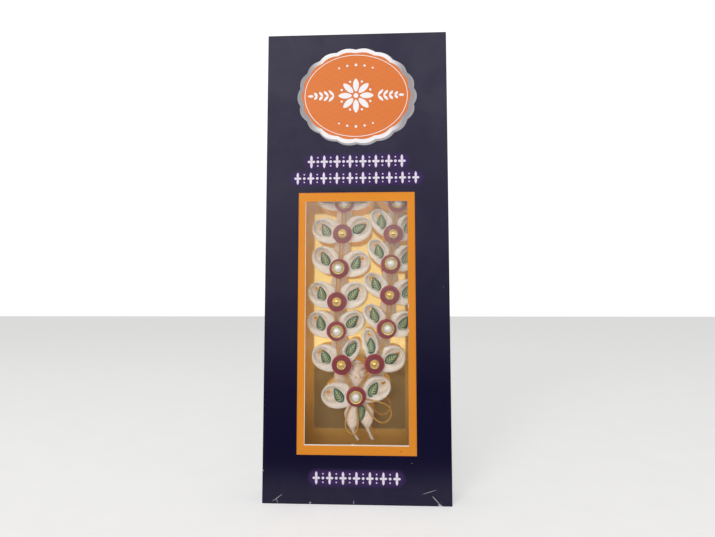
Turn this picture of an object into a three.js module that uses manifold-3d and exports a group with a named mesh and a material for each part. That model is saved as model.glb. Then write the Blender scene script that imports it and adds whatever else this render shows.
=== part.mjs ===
// A cotton flower garland in its upright window carton.
// Millimetres, +Z up. The front faces -Y, and the origin is the middle of the base.
import * as THREE from 'three';
import { mergeVertices } from 'three/addons/utils/BufferGeometryUtils.js';
import Module from 'manifold-3d';

const wasm = await Module();
wasm.setup();

// ---- Driving dimensions ----

const gap = 0.3; // clearance between neighbouring pieces

// Carton, folded from one board
const width = 100;
const depth = 24;
const height = 256;
const board = 0.6;
const creaseRadius = 0.8;
const windowWidth = 55.2;
const windowHeight = 130;
const windowBottom = 30.7;
const glueFlap = { width: 12, inset: 3, taper: 5 };

// Closures, alike at both ends: a lid creased to the back panel, with a tongue tucked behind
// the front panel, over two dust flaps
const lidInset = 0.2;
const tongueLength = 10;
const tongueLean = 2.4; // the free edge leans in this far, so it swings clear of the front panel
const tongueTaper = 6;
const tongueShoulder = 4.5; // where the tongue's sides start to taper
const tongueSideGap = 0.5;
const tongueToLid = 0.5;
const dustFlapReach = 29;
const dustFlapInset = 3; // behind the front panel, so that the tongue slides past
const dustFlapTaper = 7;

// Window film, glued inside the front panel
const filmMargin = 5;
const filmThickness = 0.3;

// Gold card: a raised platform folded from one sheet
const cardThickness = 0.5;
const cardDepth = 18.5; // from the carton's front to the card's face
const cardTop = 252;
const threadHole = 3.6; // punched where the threads pass through
const threadHoleHeight = 236;
const knotRadius = 1.5;

// Garland, with depths counted from the carton's front
const discRadius = 5.25;
const discFront = 3.9;
const discThickness = 1.7;
const pearlRadius = 2.45;
const goldBeadRadius = 2.7;
const threadDiameter = 1;
const threadDepth = 6.4; // middle of the threads, behind the discs
const threadSpread = 0.85; // each thread's distance from the middle of the strand
const threadEndX = { left: -2.8, right: 1.1 };
const threadEndRise = 4.3; // above the pendant's middle
const petalFront = 7.5; // where the petals meet under the disc
const petalRoot = -2.6; // the roots run past the middle and are glued together there
const rootOverlap = 1.5;
const leafLength = 8;
const leafWidth = 5;
const leafReach = 9.9; // from the disc's middle to the leaf's
const leafThickness = 2.2;
const leafStandsProud = 1.3;
const petalHole = { fromTip: 2.3, radius: 1.15 };
// A side petal's section from the lip of its hole out over the rim and back behind: reach is
// the share of the way to the rim, deep the depth from petalFront, root the same at the root
const petalSection = [
  { reach: 0, deep: 1.6, root: 0 },
  { reach: 0.46, deep: 1.3, root: 0 },
  { reach: 0.83, deep: -1.7, root: 0 },
  { reach: 1, deep: 0.7, root: 1.3 },
  { reach: 0.74, deep: 4.2, root: 2.6 },
  { reach: 0, deep: 3.2, root: 2.6 },
];
const petalRingSides = 12;
const rollOver = 0.5; // the upper rim rolls further forward than the lower one

// Sizes of a side petal, unless a flower gives its own
const sidePetal = { length: 17.4, width: 13.8, leaf: 112 };
// and of the plain petal of each flower, which leans back behind the next one
const hangingPetal = { length: 16.4, width: 9.2, thickness: 4.8, lean: 26 };

// The flowers of each strand from the top down: the disc's middle, then which way each side
// petal and its leaf turn, in degrees from +X towards +Z
const leftStrand = [
  { at: [-6.3, 213.6], petals: [{ turn: 158 }, { turn: 24, leaf: 58 }] },
  { at: [-6.0, 196.2], petals: [{ turn: 152 }, { turn: 27, leaf: 62 }] },
  { at: [-6.3, 178.6], petals: [{ turn: 160 }, { turn: 22, leaf: 52 }] },
  { at: [-7.0, 161.0], petals: [{ turn: 154 }, { turn: 27, leaf: 56 }] },
  { at: [-8.0, 143.6], petals: [{ turn: 165, leaf: 117 }, { turn: 21, leaf: 30, length: 16.8 }] },
  { at: [-9.8, 124.3], petals: [{ turn: 145, leaf: 113 }, { turn: 19, leaf: 68 }] },
  { at: [-11.0, 106.0], petals: [{ turn: 153, leaf: 102 }, { turn: 25, leaf: 52 }] },
  {
    at: [-11.2, 90.0],
    petals: [{ turn: 155, leaf: 101 }, { turn: 30, leaf: 50, length: 16.6, width: 12.4 }],
  },
  {
    at: [-8.4, 71.8], hang: -92,
    petals: [{ turn: 157, leaf: 115 }, { turn: 57, leaf: 58, length: 16, width: 8.6 }],
  },
];
const rightStrand = [
  { at: [25.2, 213.6], petals: [{ turn: 137, width: 10.4 }, { turn: 24, leaf: 62 }] },
  { at: [24.9, 196.2], petals: [{ turn: 133, width: 10.4 }, { turn: 20, leaf: 60 }] },
  { at: [23.9, 178.6], petals: [{ turn: 135, width: 10.6 }, { turn: 25, leaf: 66 }] },
  { at: [22.5, 160.8], petals: [{ turn: 131, width: 10.8 }, { turn: 28, leaf: 66 }] },
  {
    at: [20.1, 143.3],
    petals: [{ turn: 131, leaf: 93, width: 10.8 }, { turn: 27, leaf: 74, width: 13.2 }],
  },
  {
    at: [18.6, 126.6],
    petals: [{ turn: 131, leaf: 101, width: 10.6 }, { turn: 24, leaf: 68, width: 13.4 }],
  },
  { at: [18.0, 109.6], petals: [{ turn: 141, leaf: 111, width: 11 }, { turn: 12, leaf: 70 }] },
  { at: [16.2, 91.3], petals: [{ turn: 133, leaf: 103, length: 17, width: 10.2 }, { turn: 17, leaf: 60 }] },
  {
    at: [9.6, 72.3], hang: -86,
    petals: [{ turn: 102, leaf: 91, length: 19.6, width: 8.4 }, { turn: 17, leaf: 34 }],
  },
];
const pendant = {
  at: [-0.4, 54.9],
  petals: [
    { turn: 179, leaf: 122, length: 19 },
    { turn: 20, leaf: 60, length: 19.6, width: 12.8 },
  ],
  upper: { turn: 91, length: 21, width: 8.8, thickness: 4, lean: 4 },
};
// The pendant's two bottom petals end in twisted tails: widest place, neck and tail end
const tailPetals = [
  { belly: [-2.9, 45], neck: [-2.4, 35.8], end: [0.6, 30.4], width: 8.4 },
  { belly: [4.4, 46], neck: [5.6, 37.2], end: [8.6, 30.4], width: 8.8 },
];
const tailLeaf = { at: [2.1, 45.7], turn: 268 };
const tailRadius = 0.8;

// Thread loops that hang free at the pendant, as [x, depth, z]
const leftLoop = [
  [-2.9, 6.4, 50.2], [-3.9, 6.4, 48.8], [-5.2, 6.3, 46.4], [-6.0, 6.2, 43.6], [-6.3, 6.2, 40.8],
  [-6.0, 6.2, 38.0], [-4.7, 6.2, 35.8], [-2.7, 6.2, 34.8], [-0.8, 6.2, 35.8], [0.3, 6.2, 38.0],
  [0.6, 6.2, 40.8], [0.4, 6.2, 43.8], [0.1, 6.3, 46.6], [0.0, 6.4, 49.2],
];
const rightLoop = [
  [4.7, 6.6, 53.4], [6.6, 6.5, 52.9], [9.0, 6.2, 52.5], [11.6, 6.0, 52.0], [14.2, 6.0, 51.2],
  [16.5, 6.2, 50.0], [18.0, 6.6, 48.2], [18.5, 7.0, 45.8], [17.9, 7.4, 43.4], [16.2, 7.6, 41.4],
  [13.9, 7.6, 40.6], [11.6, 7.4, 41.2], [9.4, 7.2, 43.0], [7.3, 6.9, 45.4], [5.4, 6.7, 48.0],
  [3.6, 6.6, 50.8],
];

// ---- Materials ----

const finish = (color, roughness, metalness = 0) =>
  new THREE.MeshStandardMaterial({ color, roughness, metalness });

const navyBoard = finish(0x1b1636, 0.42);
const greyBoard = finish(0x9c9690, 0.8);
const clearFilm = finish(0xe9edf0, 0.08);
clearFilm.transparent = true;
clearFilm.opacity = 0.25;
const goldCard = finish(0xd9a648, 0.2, 1);
const cotton = finish(0xf1e4dc, 0.95);
const maroonDisc = finish(0x7f2136, 0.6);
const zariThread = finish(0xc9903f, 0.4, 0.7);

// ---- Solids ----

// A three.js geometry as a manifold solid
function solid(geometry) {
  const bare = new THREE.BufferGeometry();
  bare.setAttribute('position', geometry.getAttribute('position'));
  if (geometry.index) bare.setIndex(geometry.index);
  const merged = mergeVertices(bare, 1e-4);
  const index = merged.index.array;
  const faces = [];
  for (let i = 0; i < index.length; i += 3) {
    const [a, b, c] = [index[i], index[i + 1], index[i + 2]];
    if (a !== b && b !== c && c !== a) faces.push(a, b, c);
  }
  return new wasm.Manifold(new wasm.Mesh({
    numProp: 3,
    vertProperties: new Float32Array(merged.getAttribute('position').array),
    triVerts: new Uint32Array(faces),
  }));
}

// A manifold solid as a named three.js mesh
function piece(name, shape, material) {
  const { vertProperties, triVerts, numProp } = shape.getMesh();
  const corners = [];
  for (const v of triVerts) {
    corners.push(...vertProperties.slice(v * numProp, v * numProp + 3));
  }
  const geometry = new THREE.BufferGeometry();
  geometry.setAttribute('position', new THREE.Float32BufferAttribute(corners, 3));
  geometry.computeVertexNormals();
  const mesh = new THREE.Mesh(geometry, material);
  mesh.name = name;
  return mesh;
}

function slab([x0, x1], [y0, y1], [z0, z1]) {
  const box = new THREE.BoxGeometry(x1 - x0, y1 - y0, z1 - z0);
  box.translate((x0 + x1) / 2, (y0 + y1) / 2, (z0 + z1) / 2);
  return solid(box);
}

// A lathe profile of [radius, y] turned about the axis that points at the viewer
function turned(profile, segments) {
  return solid(new THREE.LatheGeometry(profile.map(([r, y]) => new THREE.Vector2(r, y)), segments));
}

function tube(points, diameter, steps, sides = 8) {
  const route = new THREE.CatmullRomCurve3(points.map((p) => new THREE.Vector3(...p)));
  const section = new THREE.Shape();
  for (let i = 0; i < sides; i++) {
    const a = (2 * Math.PI * i) / sides;
    const at = [Math.cos(a) * diameter / 2, Math.sin(a) * diameter / 2];
    if (i === 0) section.moveTo(...at);
    else section.lineTo(...at);
  }
  return solid(new THREE.ExtrudeGeometry(section, { steps, extrudePath: route }));
}

// A closed skin over rings of points, each ring joined to the next and the last to the first
function ringSkin(rings) {
  const n = rings[0].length;
  const geometry = new THREE.BufferGeometry();
  geometry.setAttribute('position', new THREE.Float32BufferAttribute(rings.flat(2), 3));
  const faces = [];
  rings.forEach((ring, r) => {
    const next = ((r + 1) % rings.length) * n;
    for (let i = 0; i < n; i++) {
      const [a, b] = [r * n + i, r * n + ((i + 1) % n)];
      const [c, d] = [next + i, next + ((i + 1) % n)];
      faces.push(a, b, c, b, d, c);
    }
  });
  geometry.setIndex(faces);
  return solid(geometry);
}

const front = -depth / 2;
const back = depth / 2;
const rad = THREE.MathUtils.degToRad;
const smooth = THREE.MathUtils.smoothstep;

// ---- Carton ----

const wallTop = height - board - gap; // where the lid rests on the creased walls
const wallBottom = board + gap;

function roundedRectangle(w, d, r) {
  const outline = new THREE.Shape();
  outline.moveTo(-w / 2 + r, -d / 2);
  outline.lineTo(w / 2 - r, -d / 2);
  outline.absarc(w / 2 - r, -d / 2 + r, r, -Math.PI / 2, 0);
  outline.lineTo(w / 2, d / 2 - r);
  outline.absarc(w / 2 - r, d / 2 - r, r, 0, Math.PI / 2);
  outline.lineTo(-w / 2 + r, d / 2);
  outline.absarc(-w / 2 + r, d / 2 - r, r, Math.PI / 2, Math.PI);
  outline.lineTo(-w / 2, -d / 2 + r);
  outline.absarc(-w / 2 + r, -d / 2 + r, r, Math.PI, 1.5 * Math.PI);
  return outline;
}

function cartonBody() {
  const section = roundedRectangle(width, depth, creaseRadius);
  section.holes.push(roundedRectangle(width - 2 * board, depth - 2 * board, creaseRadius - board));
  const walls = solid(new THREE.ExtrudeGeometry(section, {
    depth: height, bevelEnabled: false, curveSegments: 3,
  }));
  const behindFront = [front + board, back + 1];
  const aboveWalls = slab([-width, width], behindFront, [wallTop, height + 1]);
  const belowWalls = slab([-width, width], behindFront, [-1, wallBottom]);
  const windowCut = slab(
    [-windowWidth / 2, windowWidth / 2], [front - 1, front + board + 0.5],
    [windowBottom, windowBottom + windowHeight],
  );
  return walls.subtract(aboveWalls).subtract(belowWalls).subtract(windowCut).add(gluedFlap());
}

// The flap of the back panel that is glued inside the left wall, sunk a little into it
function gluedFlap() {
  const sunk = 0.1;
  const root = back - board;
  const tip = root - glueFlap.width;
  const outline = new THREE.Shape([
    new THREE.Vector2(root, glueFlap.inset),
    new THREE.Vector2(root, height - glueFlap.inset),
    new THREE.Vector2(tip, height - glueFlap.inset - glueFlap.taper),
    new THREE.Vector2(tip, glueFlap.inset + glueFlap.taper),
  ]);
  const flap = new THREE.ExtrudeGeometry(outline, { depth: board + sunk, bevelEnabled: false });
  flap.applyMatrix4(new THREE.Matrix4().makeBasis(
    new THREE.Vector3(0, 1, 0), new THREE.Vector3(0, 0, 1), new THREE.Vector3(1, 0, 0),
  ));
  flap.translate(board - width / 2 - sunk, 0, 0);
  return solid(flap);
}

// The closing panel of one end, between z = low and z = low + board
function endPanel(low) {
  const side = width / 2 - lidInset;
  return slab([-side, side], [front + board + gap, back], [low, low + board]);
}

// The tongue hangs from y = its crease to a tapered free edge that leans inwards
function tongue(creaseZ, towards) {
  const half = width / 2 - board - gap - tongueSideGap;
  const outline = new THREE.Shape([
    new THREE.Vector2(-half, 0),
    new THREE.Vector2(half, 0),
    new THREE.Vector2(half, tongueShoulder),
    new THREE.Vector2(half - tongueTaper, tongueLength),
    new THREE.Vector2(-half + tongueTaper, tongueLength),
    new THREE.Vector2(-half, tongueShoulder),
  ]);
  const flat = new THREE.ExtrudeGeometry(outline, { depth: board, bevelEnabled: false });
  const lean = new THREE.Vector3(0, tongueLean, towards * tongueLength).normalize();
  const across = new THREE.Vector3(1, 0, 0);
  const through = new THREE.Vector3().crossVectors(across, lean);
  flat.applyMatrix4(new THREE.Matrix4().makeBasis(across, lean, through));
  const start = front + board + gap + (through.y < 0 ? board : 0);
  flat.translate(0, start, creaseZ);
  return solid(flat);
}

function dustFlap(side, low) {
  const root = width / 2 - board - gap;
  const tip = root - dustFlapReach;
  const [near, far] = [front + board + dustFlapInset, back - board - gap];
  const outline = new THREE.Shape([
    new THREE.Vector2(side * root, near),
    new THREE.Vector2(side * root, far),
    new THREE.Vector2(side * (tip + dustFlapTaper), far),
    new THREE.Vector2(side * tip, far - dustFlapTaper),
    new THREE.Vector2(side * tip, near + dustFlapTaper),
    new THREE.Vector2(side * (tip + dustFlapTaper), near),
  ]);
  const flat = new THREE.ExtrudeGeometry(outline, { depth: board, bevelEnabled: false });
  flat.translate(0, 0, low);
  return solid(flat);
}

function windowFilm() {
  const near = front + board + gap / 2;
  return slab(
    [-windowWidth / 2 - filmMargin, windowWidth / 2 + filmMargin], [near, near + filmThickness],
    [windowBottom - filmMargin, windowBottom + windowHeight + filmMargin],
  );
}

// ---- Gold card ----

const cardFace = front + cardDepth;
const threadHoles = [leftStrand[0].at[0], rightStrand[0].at[0]];

function goldPlatform() {
  const half = width / 2 - board * 2 - gap * 2; // clear of the glued flap
  const low = wallBottom + board + gap; // on the bottom dust flaps
  const face = slab([-half, half], [cardFace, cardFace + cardThickness], [low, cardTop]);
  const flanges = [-1, 1].map((side) => {
    const edges = [side * half, side * (half - cardThickness)].sort((a, b) => a - b);
    return slab(edges, [cardFace, back - board - gap], [low, cardTop]);
  });
  const holes = threadHoles.map((x) => {
    const punch = new THREE.CylinderGeometry(threadHole / 2, threadHole / 2, 4, 12);
    punch.translate(x, cardFace, threadHoleHeight);
    return solid(punch);
  });
  return face.add(flanges[0]).add(flanges[1]).subtract(holes[0]).subtract(holes[1]);
}

// ---- Flowers ----

// A petal's own directions: along it, across it, and into the carton
function petalPlace([x, z], turn) {
  const [c, s] = [Math.cos(rad(turn)), Math.sin(rad(turn))];
  return (along, across, deep) => [x + along * c - across * s, front + deep, z + along * s + across * c];
}

// How wide a petal is along its outline, from 0 at its root through 1 at its widest
const fullness = (angle) => Math.sin(angle) * Math.sin(angle / 2) ** 0.5 / 0.861;

// A loop of rolled cotton: a dished web round a small hole near the tip, inside a thick rim
function loopPetal(at, { turn, length, width: petalWidth }) {
  const place = petalPlace(at, turn);
  const upper = Math.cos(rad(turn)) >= 0 ? 1 : -1; // which side of the petal faces up
  const hole = { along: length - petalHole.fromTip, across: upper * petalWidth * 0.07 };
  const skin = petalSection.map(({ reach, deep, root }) => {
    const ring = [];
    for (let i = 0; i < petalRingSides; i++) {
      const angle = (2 * Math.PI * i) / petalRingSides;
      const lip = [
        hole.along - petalHole.radius * Math.cos(angle),
        hole.across + petalHole.radius * Math.sin(angle),
      ];
      const rim = [
        petalRoot + (length - petalRoot) * (1 - Math.cos(angle)) / 2,
        (petalWidth / 2) * Math.sign(Math.PI - angle) * Math.abs(fullness(angle)),
      ];
      const along = lip[0] + (rim[0] - lip[0]) * reach;
      const across = lip[1] + (rim[1] - lip[1]) * reach;
      const rise = smooth(along / length, 0.29, 0.56); // the root lies flat under the disc
      const rolled = deep < 0 && across * upper > 0 ? deep - rollOver : deep;
      ring.push(place(along, across, petalFront + root + (rolled - root) * rise));
    }
    return ring;
  });
  return ringSkin(skin);
}

// A petal of plain rolled cotton, whose tip lies deeper than its root
function plainPetal([x, z], turn, { length, width: w, thickness, lean }) {
  const profile = [[0, 0], [0.26, 0.1], [0.42, 0.36], [0.5, 0.66], [0.36, 0.9], [0, 1]];
  const lathe = new THREE.LatheGeometry(profile.map(([r, t]) => new THREE.Vector2(r, t)), 8);
  lathe.scale(w, length, thickness);
  lathe.applyMatrix4(new THREE.Matrix4().makeRotationX(-rad(lean)));
  lathe.applyMatrix4(new THREE.Matrix4().makeBasis(
    new THREE.Vector3(Math.sin(rad(turn)), 0, -Math.cos(rad(turn))),
    new THREE.Vector3(Math.cos(rad(turn)), 0, Math.sin(rad(turn))),
    new THREE.Vector3(0, -1, 0),
  ));
  lathe.translate(x, front + petalFront + 2.2, z);
  return solid(lathe);
}

// A leaf sticker, sunk into the petal's web and standing a little proud of it
function leafRelief([x, z], turn, deep) {
  const half = leafLength / 2;
  const [root, shoulder] = [leafWidth * 0.75, leafWidth * 0.5];
  const outline = new THREE.Shape();
  outline.moveTo(0, -half);
  outline.bezierCurveTo(root, -half * 0.6, shoulder, half * 0.5, 0, half);
  outline.bezierCurveTo(-shoulder, half * 0.5, -root, -half * 0.6, 0, -half);
  const flat = new THREE.ExtrudeGeometry(outline, {
    depth: leafThickness, bevelEnabled: false, curveSegments: 4,
  });
  flat.rotateX(Math.PI / 2);
  flat.applyMatrix4(new THREE.Matrix4().makeRotationY(rad(90 - turn)));
  flat.translate(x, front + deep + leafThickness - leafStandsProud, z);
  return solid(flat);
}

function join(solids) {
  return solids.reduce((whole, next) => whole.add(next));
}

function sidePetals(at, petals) {
  return petals.flatMap((given) => {
    const petal = { ...sidePetal, ...given };
    const [x, , z] = petalPlace(at, petal.turn)(leafReach, 0, 0);
    return [loopPetal(at, petal), leafRelief([x, z], petal.leaf, petalFront + 1)];
  });
}

function flowerPetals({ at: [x, z], petals, hang }, nextAt) {
  const towardsNext = THREE.MathUtils.radToDeg(Math.atan2(nextAt[1] - z, nextAt[0] - x));
  const plain = plainPetal([x, z + rootOverlap], hang ?? towardsNext, hangingPetal);
  return join([...sidePetals([x, z], petals), plain]);
}

// A petal that narrows to a neck and ends in a twisted tail
function tailPetal({ belly, neck, end, width: w }) {
  const [x, z] = pendant.at;
  const deep = petalFront + 2.4;
  const stops = [
    [[x, z - 1], 1.4], [[x + (belly[0] - x) * 0.5, z + (belly[1] - z) * 0.5], w * 0.4], [belly, w / 2],
    [[belly[0] + (neck[0] - belly[0]) * 0.6, belly[1] + (neck[1] - belly[1]) * 0.6], w * 0.34],
    [neck, tailRadius], [end, tailRadius * 0.8],
  ];
  const sides = 10;
  const skin = stops.map(([[cx, cz], r]) => {
    const ring = [];
    for (let i = 0; i < sides; i++) {
      const a = (2 * Math.PI * i) / sides;
      ring.push([cx + r * Math.cos(a), front + deep + Math.min(r, 2.2) * Math.sin(a), cz]);
    }
    return ring;
  });
  return cappedSkin(skin);
}

// A skin over rings, closed by a flat cap at each end
function cappedSkin(rings) {
  const n = rings[0].length;
  const geometry = new THREE.BufferGeometry();
  geometry.setAttribute('position', new THREE.Float32BufferAttribute(rings.flat(2), 3));
  const faces = [];
  for (let r = 0; r + 1 < rings.length; r++) {
    for (let i = 0; i < n; i++) {
      const [a, b] = [r * n + i, r * n + ((i + 1) % n)];
      faces.push(a, a + n, b, b, a + n, b + n);
    }
  }
  const last = (rings.length - 1) * n;
  for (let i = 1; i + 1 < n; i++) {
    faces.push(0, i, i + 1, last, last + i + 1, last + i);
  }
  geometry.setIndex(faces);
  return solid(geometry);
}

function pendantPetals() {
  const [x, z] = pendant.at;
  const upper = plainPetal([x, z - rootOverlap], pendant.upper.turn, pendant.upper);
  const leaf = leafRelief(tailLeaf.at, tailLeaf.turn, petalFront + 1.3);
  return join([...sidePetals(pendant.at, pendant.petals), upper, ...tailPetals.map(tailPetal), leaf]);
}

// A domed felt disc with a pearl or a gold bead in a milled cup
function flowerDisc([x, z], isPearl) {
  const bead = isPearl ? pearlRadius : goldBeadRadius;
  const cup = isPearl ? 3.85 : goldBeadRadius + 0.35;
  const rise = isPearl ? 2.15 : 1.7; // how far the bead stands in front of the disc
  const y = (deeper) => front + discFront + deeper;
  const profile = [
    [0, y(discThickness)], [discRadius * 0.93, y(discThickness)], [discRadius, y(discThickness * 0.6)],
    [discRadius * 0.93, y(0.5)], [cup + 0.15, y(0.05)], [cup, y(-0.9)], [cup - 0.7, y(-1)],
    [bead - 0.1, y(-0.3)], [bead * 0.8, y(-rise * 0.72)], [0, y(-rise)],
  ];
  return turned(profile.reverse(), 11).translate([x, 0, z]);
}

// ---- Threads ----

// Two threads run side by side from a knot behind the card, down behind every disc to the pendant
function strandThreads(strand, endX) {
  const [topX] = strand[0].at;
  const behindCard = cardFace + cardThickness;
  const threadY = front + threadDepth;
  const knot = new THREE.SphereGeometry(1, 8, 5);
  knot.scale(knotRadius, knotRadius * 0.67, knotRadius * 0.8);
  knot.translate(topX, behindCard + knotRadius, threadHoleHeight);
  const threads = [-1, 1].map((side) => {
    const offset = side * threadSpread;
    const points = [
      [topX + side * 0.62, behindCard + 1.4, threadHoleHeight],
      [topX + side * 0.66, cardFace - 1.2, threadHoleHeight - 0.4],
      [topX + side * 0.75, threadY + 3, threadHoleHeight - 8],
      [topX + offset, threadY, strand[0].at[1] + 7],
    ];
    strand.forEach(({ at: [x, z] }) => points.push([x + offset, threadY, z]));
    points.push([endX + offset, threadY, pendant.at[1] + threadEndRise]);
    return tube(points, threadDiameter, 30, 6);
  });
  return join([solid(knot), ...threads]);
}

function loopThread(points) {
  return tube(points.map(([x, deep, z]) => [x, front + deep, z]), threadDiameter, 20);
}

// ---- The whole object ----

const group = new THREE.Group();
group.add(
  piece('carton_body', cartonBody(), navyBoard),
  piece('top_lid', endPanel(height - board), navyBoard),
  piece('top_tongue', tongue(height - board - tongueToLid, -1), greyBoard),
  piece('top_dust_flap_left', dustFlap(-1, wallTop - board), greyBoard),
  piece('top_dust_flap_right', dustFlap(1, wallTop - board), greyBoard),
  piece('bottom_lid', endPanel(0), navyBoard),
  piece('bottom_tongue', tongue(board + tongueToLid, 1), greyBoard),
  piece('bottom_dust_flap_left', dustFlap(-1, wallBottom), greyBoard),
  piece('bottom_dust_flap_right', dustFlap(1, wallBottom), greyBoard),
  piece('window_film', windowFilm(), clearFilm),
  piece('gold_card', goldPlatform(), goldCard),
);

for (const [side, strand] of [['left', leftStrand], ['right', rightStrand]]) {
  strand.forEach((flower, i) => {
    const next = strand[i + 1] ?? pendant;
    const name = `flower_${side}_${i + 1}`;
    group.add(
      piece(`${name}_petals`, flowerPetals(flower, next.at), cotton),
      piece(`${name}_disc`, flowerDisc(flower.at, i % 2 === 1), maroonDisc),
    );
  });
  const threads = strandThreads(strand, threadEndX[side]);
  group.add(piece(`strand_threads_${side}`, threads, zariThread));
}

group.add(
  piece('pendant_petals', pendantPetals(), cotton),
  piece('pendant_disc', flowerDisc(pendant.at, true), maroonDisc),
  piece('pendant_loop_left', loopThread(leftLoop), zariThread),
  piece('pendant_loop_right', loopThread(rightLoop), zariThread),
);

export default group;
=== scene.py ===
import math
import random

import bmesh
import bpy
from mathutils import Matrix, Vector, noise
from mathutils.bvhtree import BVHTree


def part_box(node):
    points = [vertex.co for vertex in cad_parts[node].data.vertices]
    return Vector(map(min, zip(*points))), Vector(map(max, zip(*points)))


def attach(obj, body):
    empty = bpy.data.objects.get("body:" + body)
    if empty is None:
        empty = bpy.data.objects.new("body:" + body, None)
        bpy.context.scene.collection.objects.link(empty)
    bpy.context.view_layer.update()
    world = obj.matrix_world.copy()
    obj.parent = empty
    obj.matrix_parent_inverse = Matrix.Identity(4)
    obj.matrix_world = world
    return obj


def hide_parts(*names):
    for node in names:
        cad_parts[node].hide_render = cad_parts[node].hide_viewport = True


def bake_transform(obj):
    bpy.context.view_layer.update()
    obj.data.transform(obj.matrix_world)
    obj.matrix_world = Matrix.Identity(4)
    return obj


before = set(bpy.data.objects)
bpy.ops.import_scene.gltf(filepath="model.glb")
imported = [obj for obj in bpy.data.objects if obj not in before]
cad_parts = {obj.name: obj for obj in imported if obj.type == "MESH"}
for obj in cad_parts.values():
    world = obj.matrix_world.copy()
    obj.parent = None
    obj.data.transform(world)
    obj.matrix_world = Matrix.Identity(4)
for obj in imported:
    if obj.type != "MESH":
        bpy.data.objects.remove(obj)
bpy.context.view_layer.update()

# A cotton flower garland in its upright window carton. Places and sizes are in millimetres, in the
# part's own frame: the front faces -Y, and a mesh becomes metres as it is finished.
millimetre = 0.001
front = -12.0


# Small helpers

def put(tree, kind, inputs=None, **settings):
    node = tree.nodes.new(kind)
    for key, value in settings.items():
        setattr(node, key, value)
    for key, value in (inputs or {}).items():
        if isinstance(value, bpy.types.NodeSocket):
            tree.links.new(value, node.inputs[key])
        else:
            node.inputs[key].default_value = value
    return node


def sums(tree, operation, *values, clamp=False):
    inputs = dict(enumerate(values))
    return put(tree, "ShaderNodeMath", inputs, operation=operation, use_clamp=clamp).outputs[0]


def product(tree, *values):
    result = values[0]
    for value in values[1:]:
        result = sums(tree, "MULTIPLY", result, value)
    return result


def parts(tree, vector):
    return put(tree, "ShaderNodeSeparateXYZ", {"Vector": vector}).outputs


def blendColour(tree, share, first, second):
    node = put(tree, "ShaderNodeMix", data_type="RGBA")
    for index, value in ((0, share), (6, first), (7, second)):
        if isinstance(value, bpy.types.NodeSocket):
            tree.links.new(value, node.inputs[index])
        else:
            node.inputs[index].default_value = value
    return node.outputs[2]


def remap(tree, value, low, high, fromLow=0.0, fromHigh=1.0):
    inputs = {"Value": value, "From Min": fromLow, "From Max": fromHigh, "To Min": low, "To Max": high}
    return put(tree, "ShaderNodeMapRange", inputs, interpolation_type="SMOOTHSTEP").outputs[0]


def paint(red, green, blue):
    return (red, green, blue, 1.0)


def newMaterial(name):
    material = bpy.data.materials.new(name)
    material.use_nodes = True
    tree = material.node_tree
    return material, tree, tree.nodes["Principled BSDF"]


def plug(tree, shader, **values):
    for key, value in values.items():
        socket = shader.inputs[key.replace("_", " ")]
        if isinstance(value, bpy.types.NodeSocket):
            tree.links.new(value, socket)
        else:
            socket.default_value = value


def bumped(tree, height, distance, strength=1.0):
    inputs = {"Height": height, "Distance": distance, "Strength": strength}
    return put(tree, "ShaderNodeBump", inputs).outputs[0]


def makePiece(bm, name, materials, body="root", stands=(), closed=True):
    if closed:  # its seams and poles are joined before its faces are turned outwards
        bmesh.ops.remove_doubles(bm, verts=bm.verts, dist=1e-4)
        bmesh.ops.recalc_face_normals(bm, faces=bm.faces)
    for face in bm.faces:
        face.smooth = True
    bmesh.ops.scale(bm, vec=(millimetre,) * 3, verts=bm.verts)
    mesh = bpy.data.meshes.new(name)
    bm.to_mesh(mesh)
    bm.free()
    for material in materials:
        mesh.materials.append(material)
    piece = bpy.data.objects.new(name, mesh)
    bpy.context.scene.collection.objects.link(piece)
    if body:
        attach(piece, body)
    if stands:
        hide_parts(*stands)
    return piece


def newMesh():
    bm = bmesh.new()
    bm.loops.layers.uv.new("UVMap")
    return bm


def skin(bm, around, along, place, slotIndex=0):  # a grid whose points go where place(u, v) says
    made = bmesh.ops.create_grid(bm, x_segments=around, y_segments=along, size=0.5, calc_uvs=True)
    verts = made["verts"]
    for face in {f for v in verts for f in v.link_faces}:
        face.material_index = slotIndex
    for v in verts:
        v.co = place(v.co.x + 0.5, v.co.y + 0.5)


def ease(x, low, high):  # 0 below low, 1 above high, and smooth between
    t = min(max((x - low) / (high - low), 0.0), 1.0)
    return t * t * (3 - 2 * t)


def throughPoints(points, steps, closed=False):  # a centripetal curve through the points
    points = [Vector(p) for p in points]
    if closed:
        points = [points[-1], *points, points[0], points[1]]
    else:
        points = [2 * points[0] - points[1], *points, 2 * points[-1] - points[-2]]
    curve = []
    for a, b, c, d in zip(points, points[1:], points[2:], points[3:]):
        t1 = max((b - a).length, 1e-6) ** 0.5
        t2 = t1 + max((c - b).length, 1e-6) ** 0.5
        t3 = t2 + max((d - c).length, 1e-6) ** 0.5
        for i in range(steps):
            t = t1 + (t2 - t1) * i / steps
            first = a.lerp(b, t / t1)
            second = b.lerp(c, (t - t1) / (t2 - t1))
            third = c.lerp(d, (t - t2) / (t3 - t2))
            curve.append(first.lerp(second, t / t2).lerp(second.lerp(third, (t - t1) / (t3 - t1)),
                                                         (t - t1) / (t2 - t1)))
    if not closed:
        curve.append(points[-2])
    return curve


# Camera, floor and light

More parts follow.
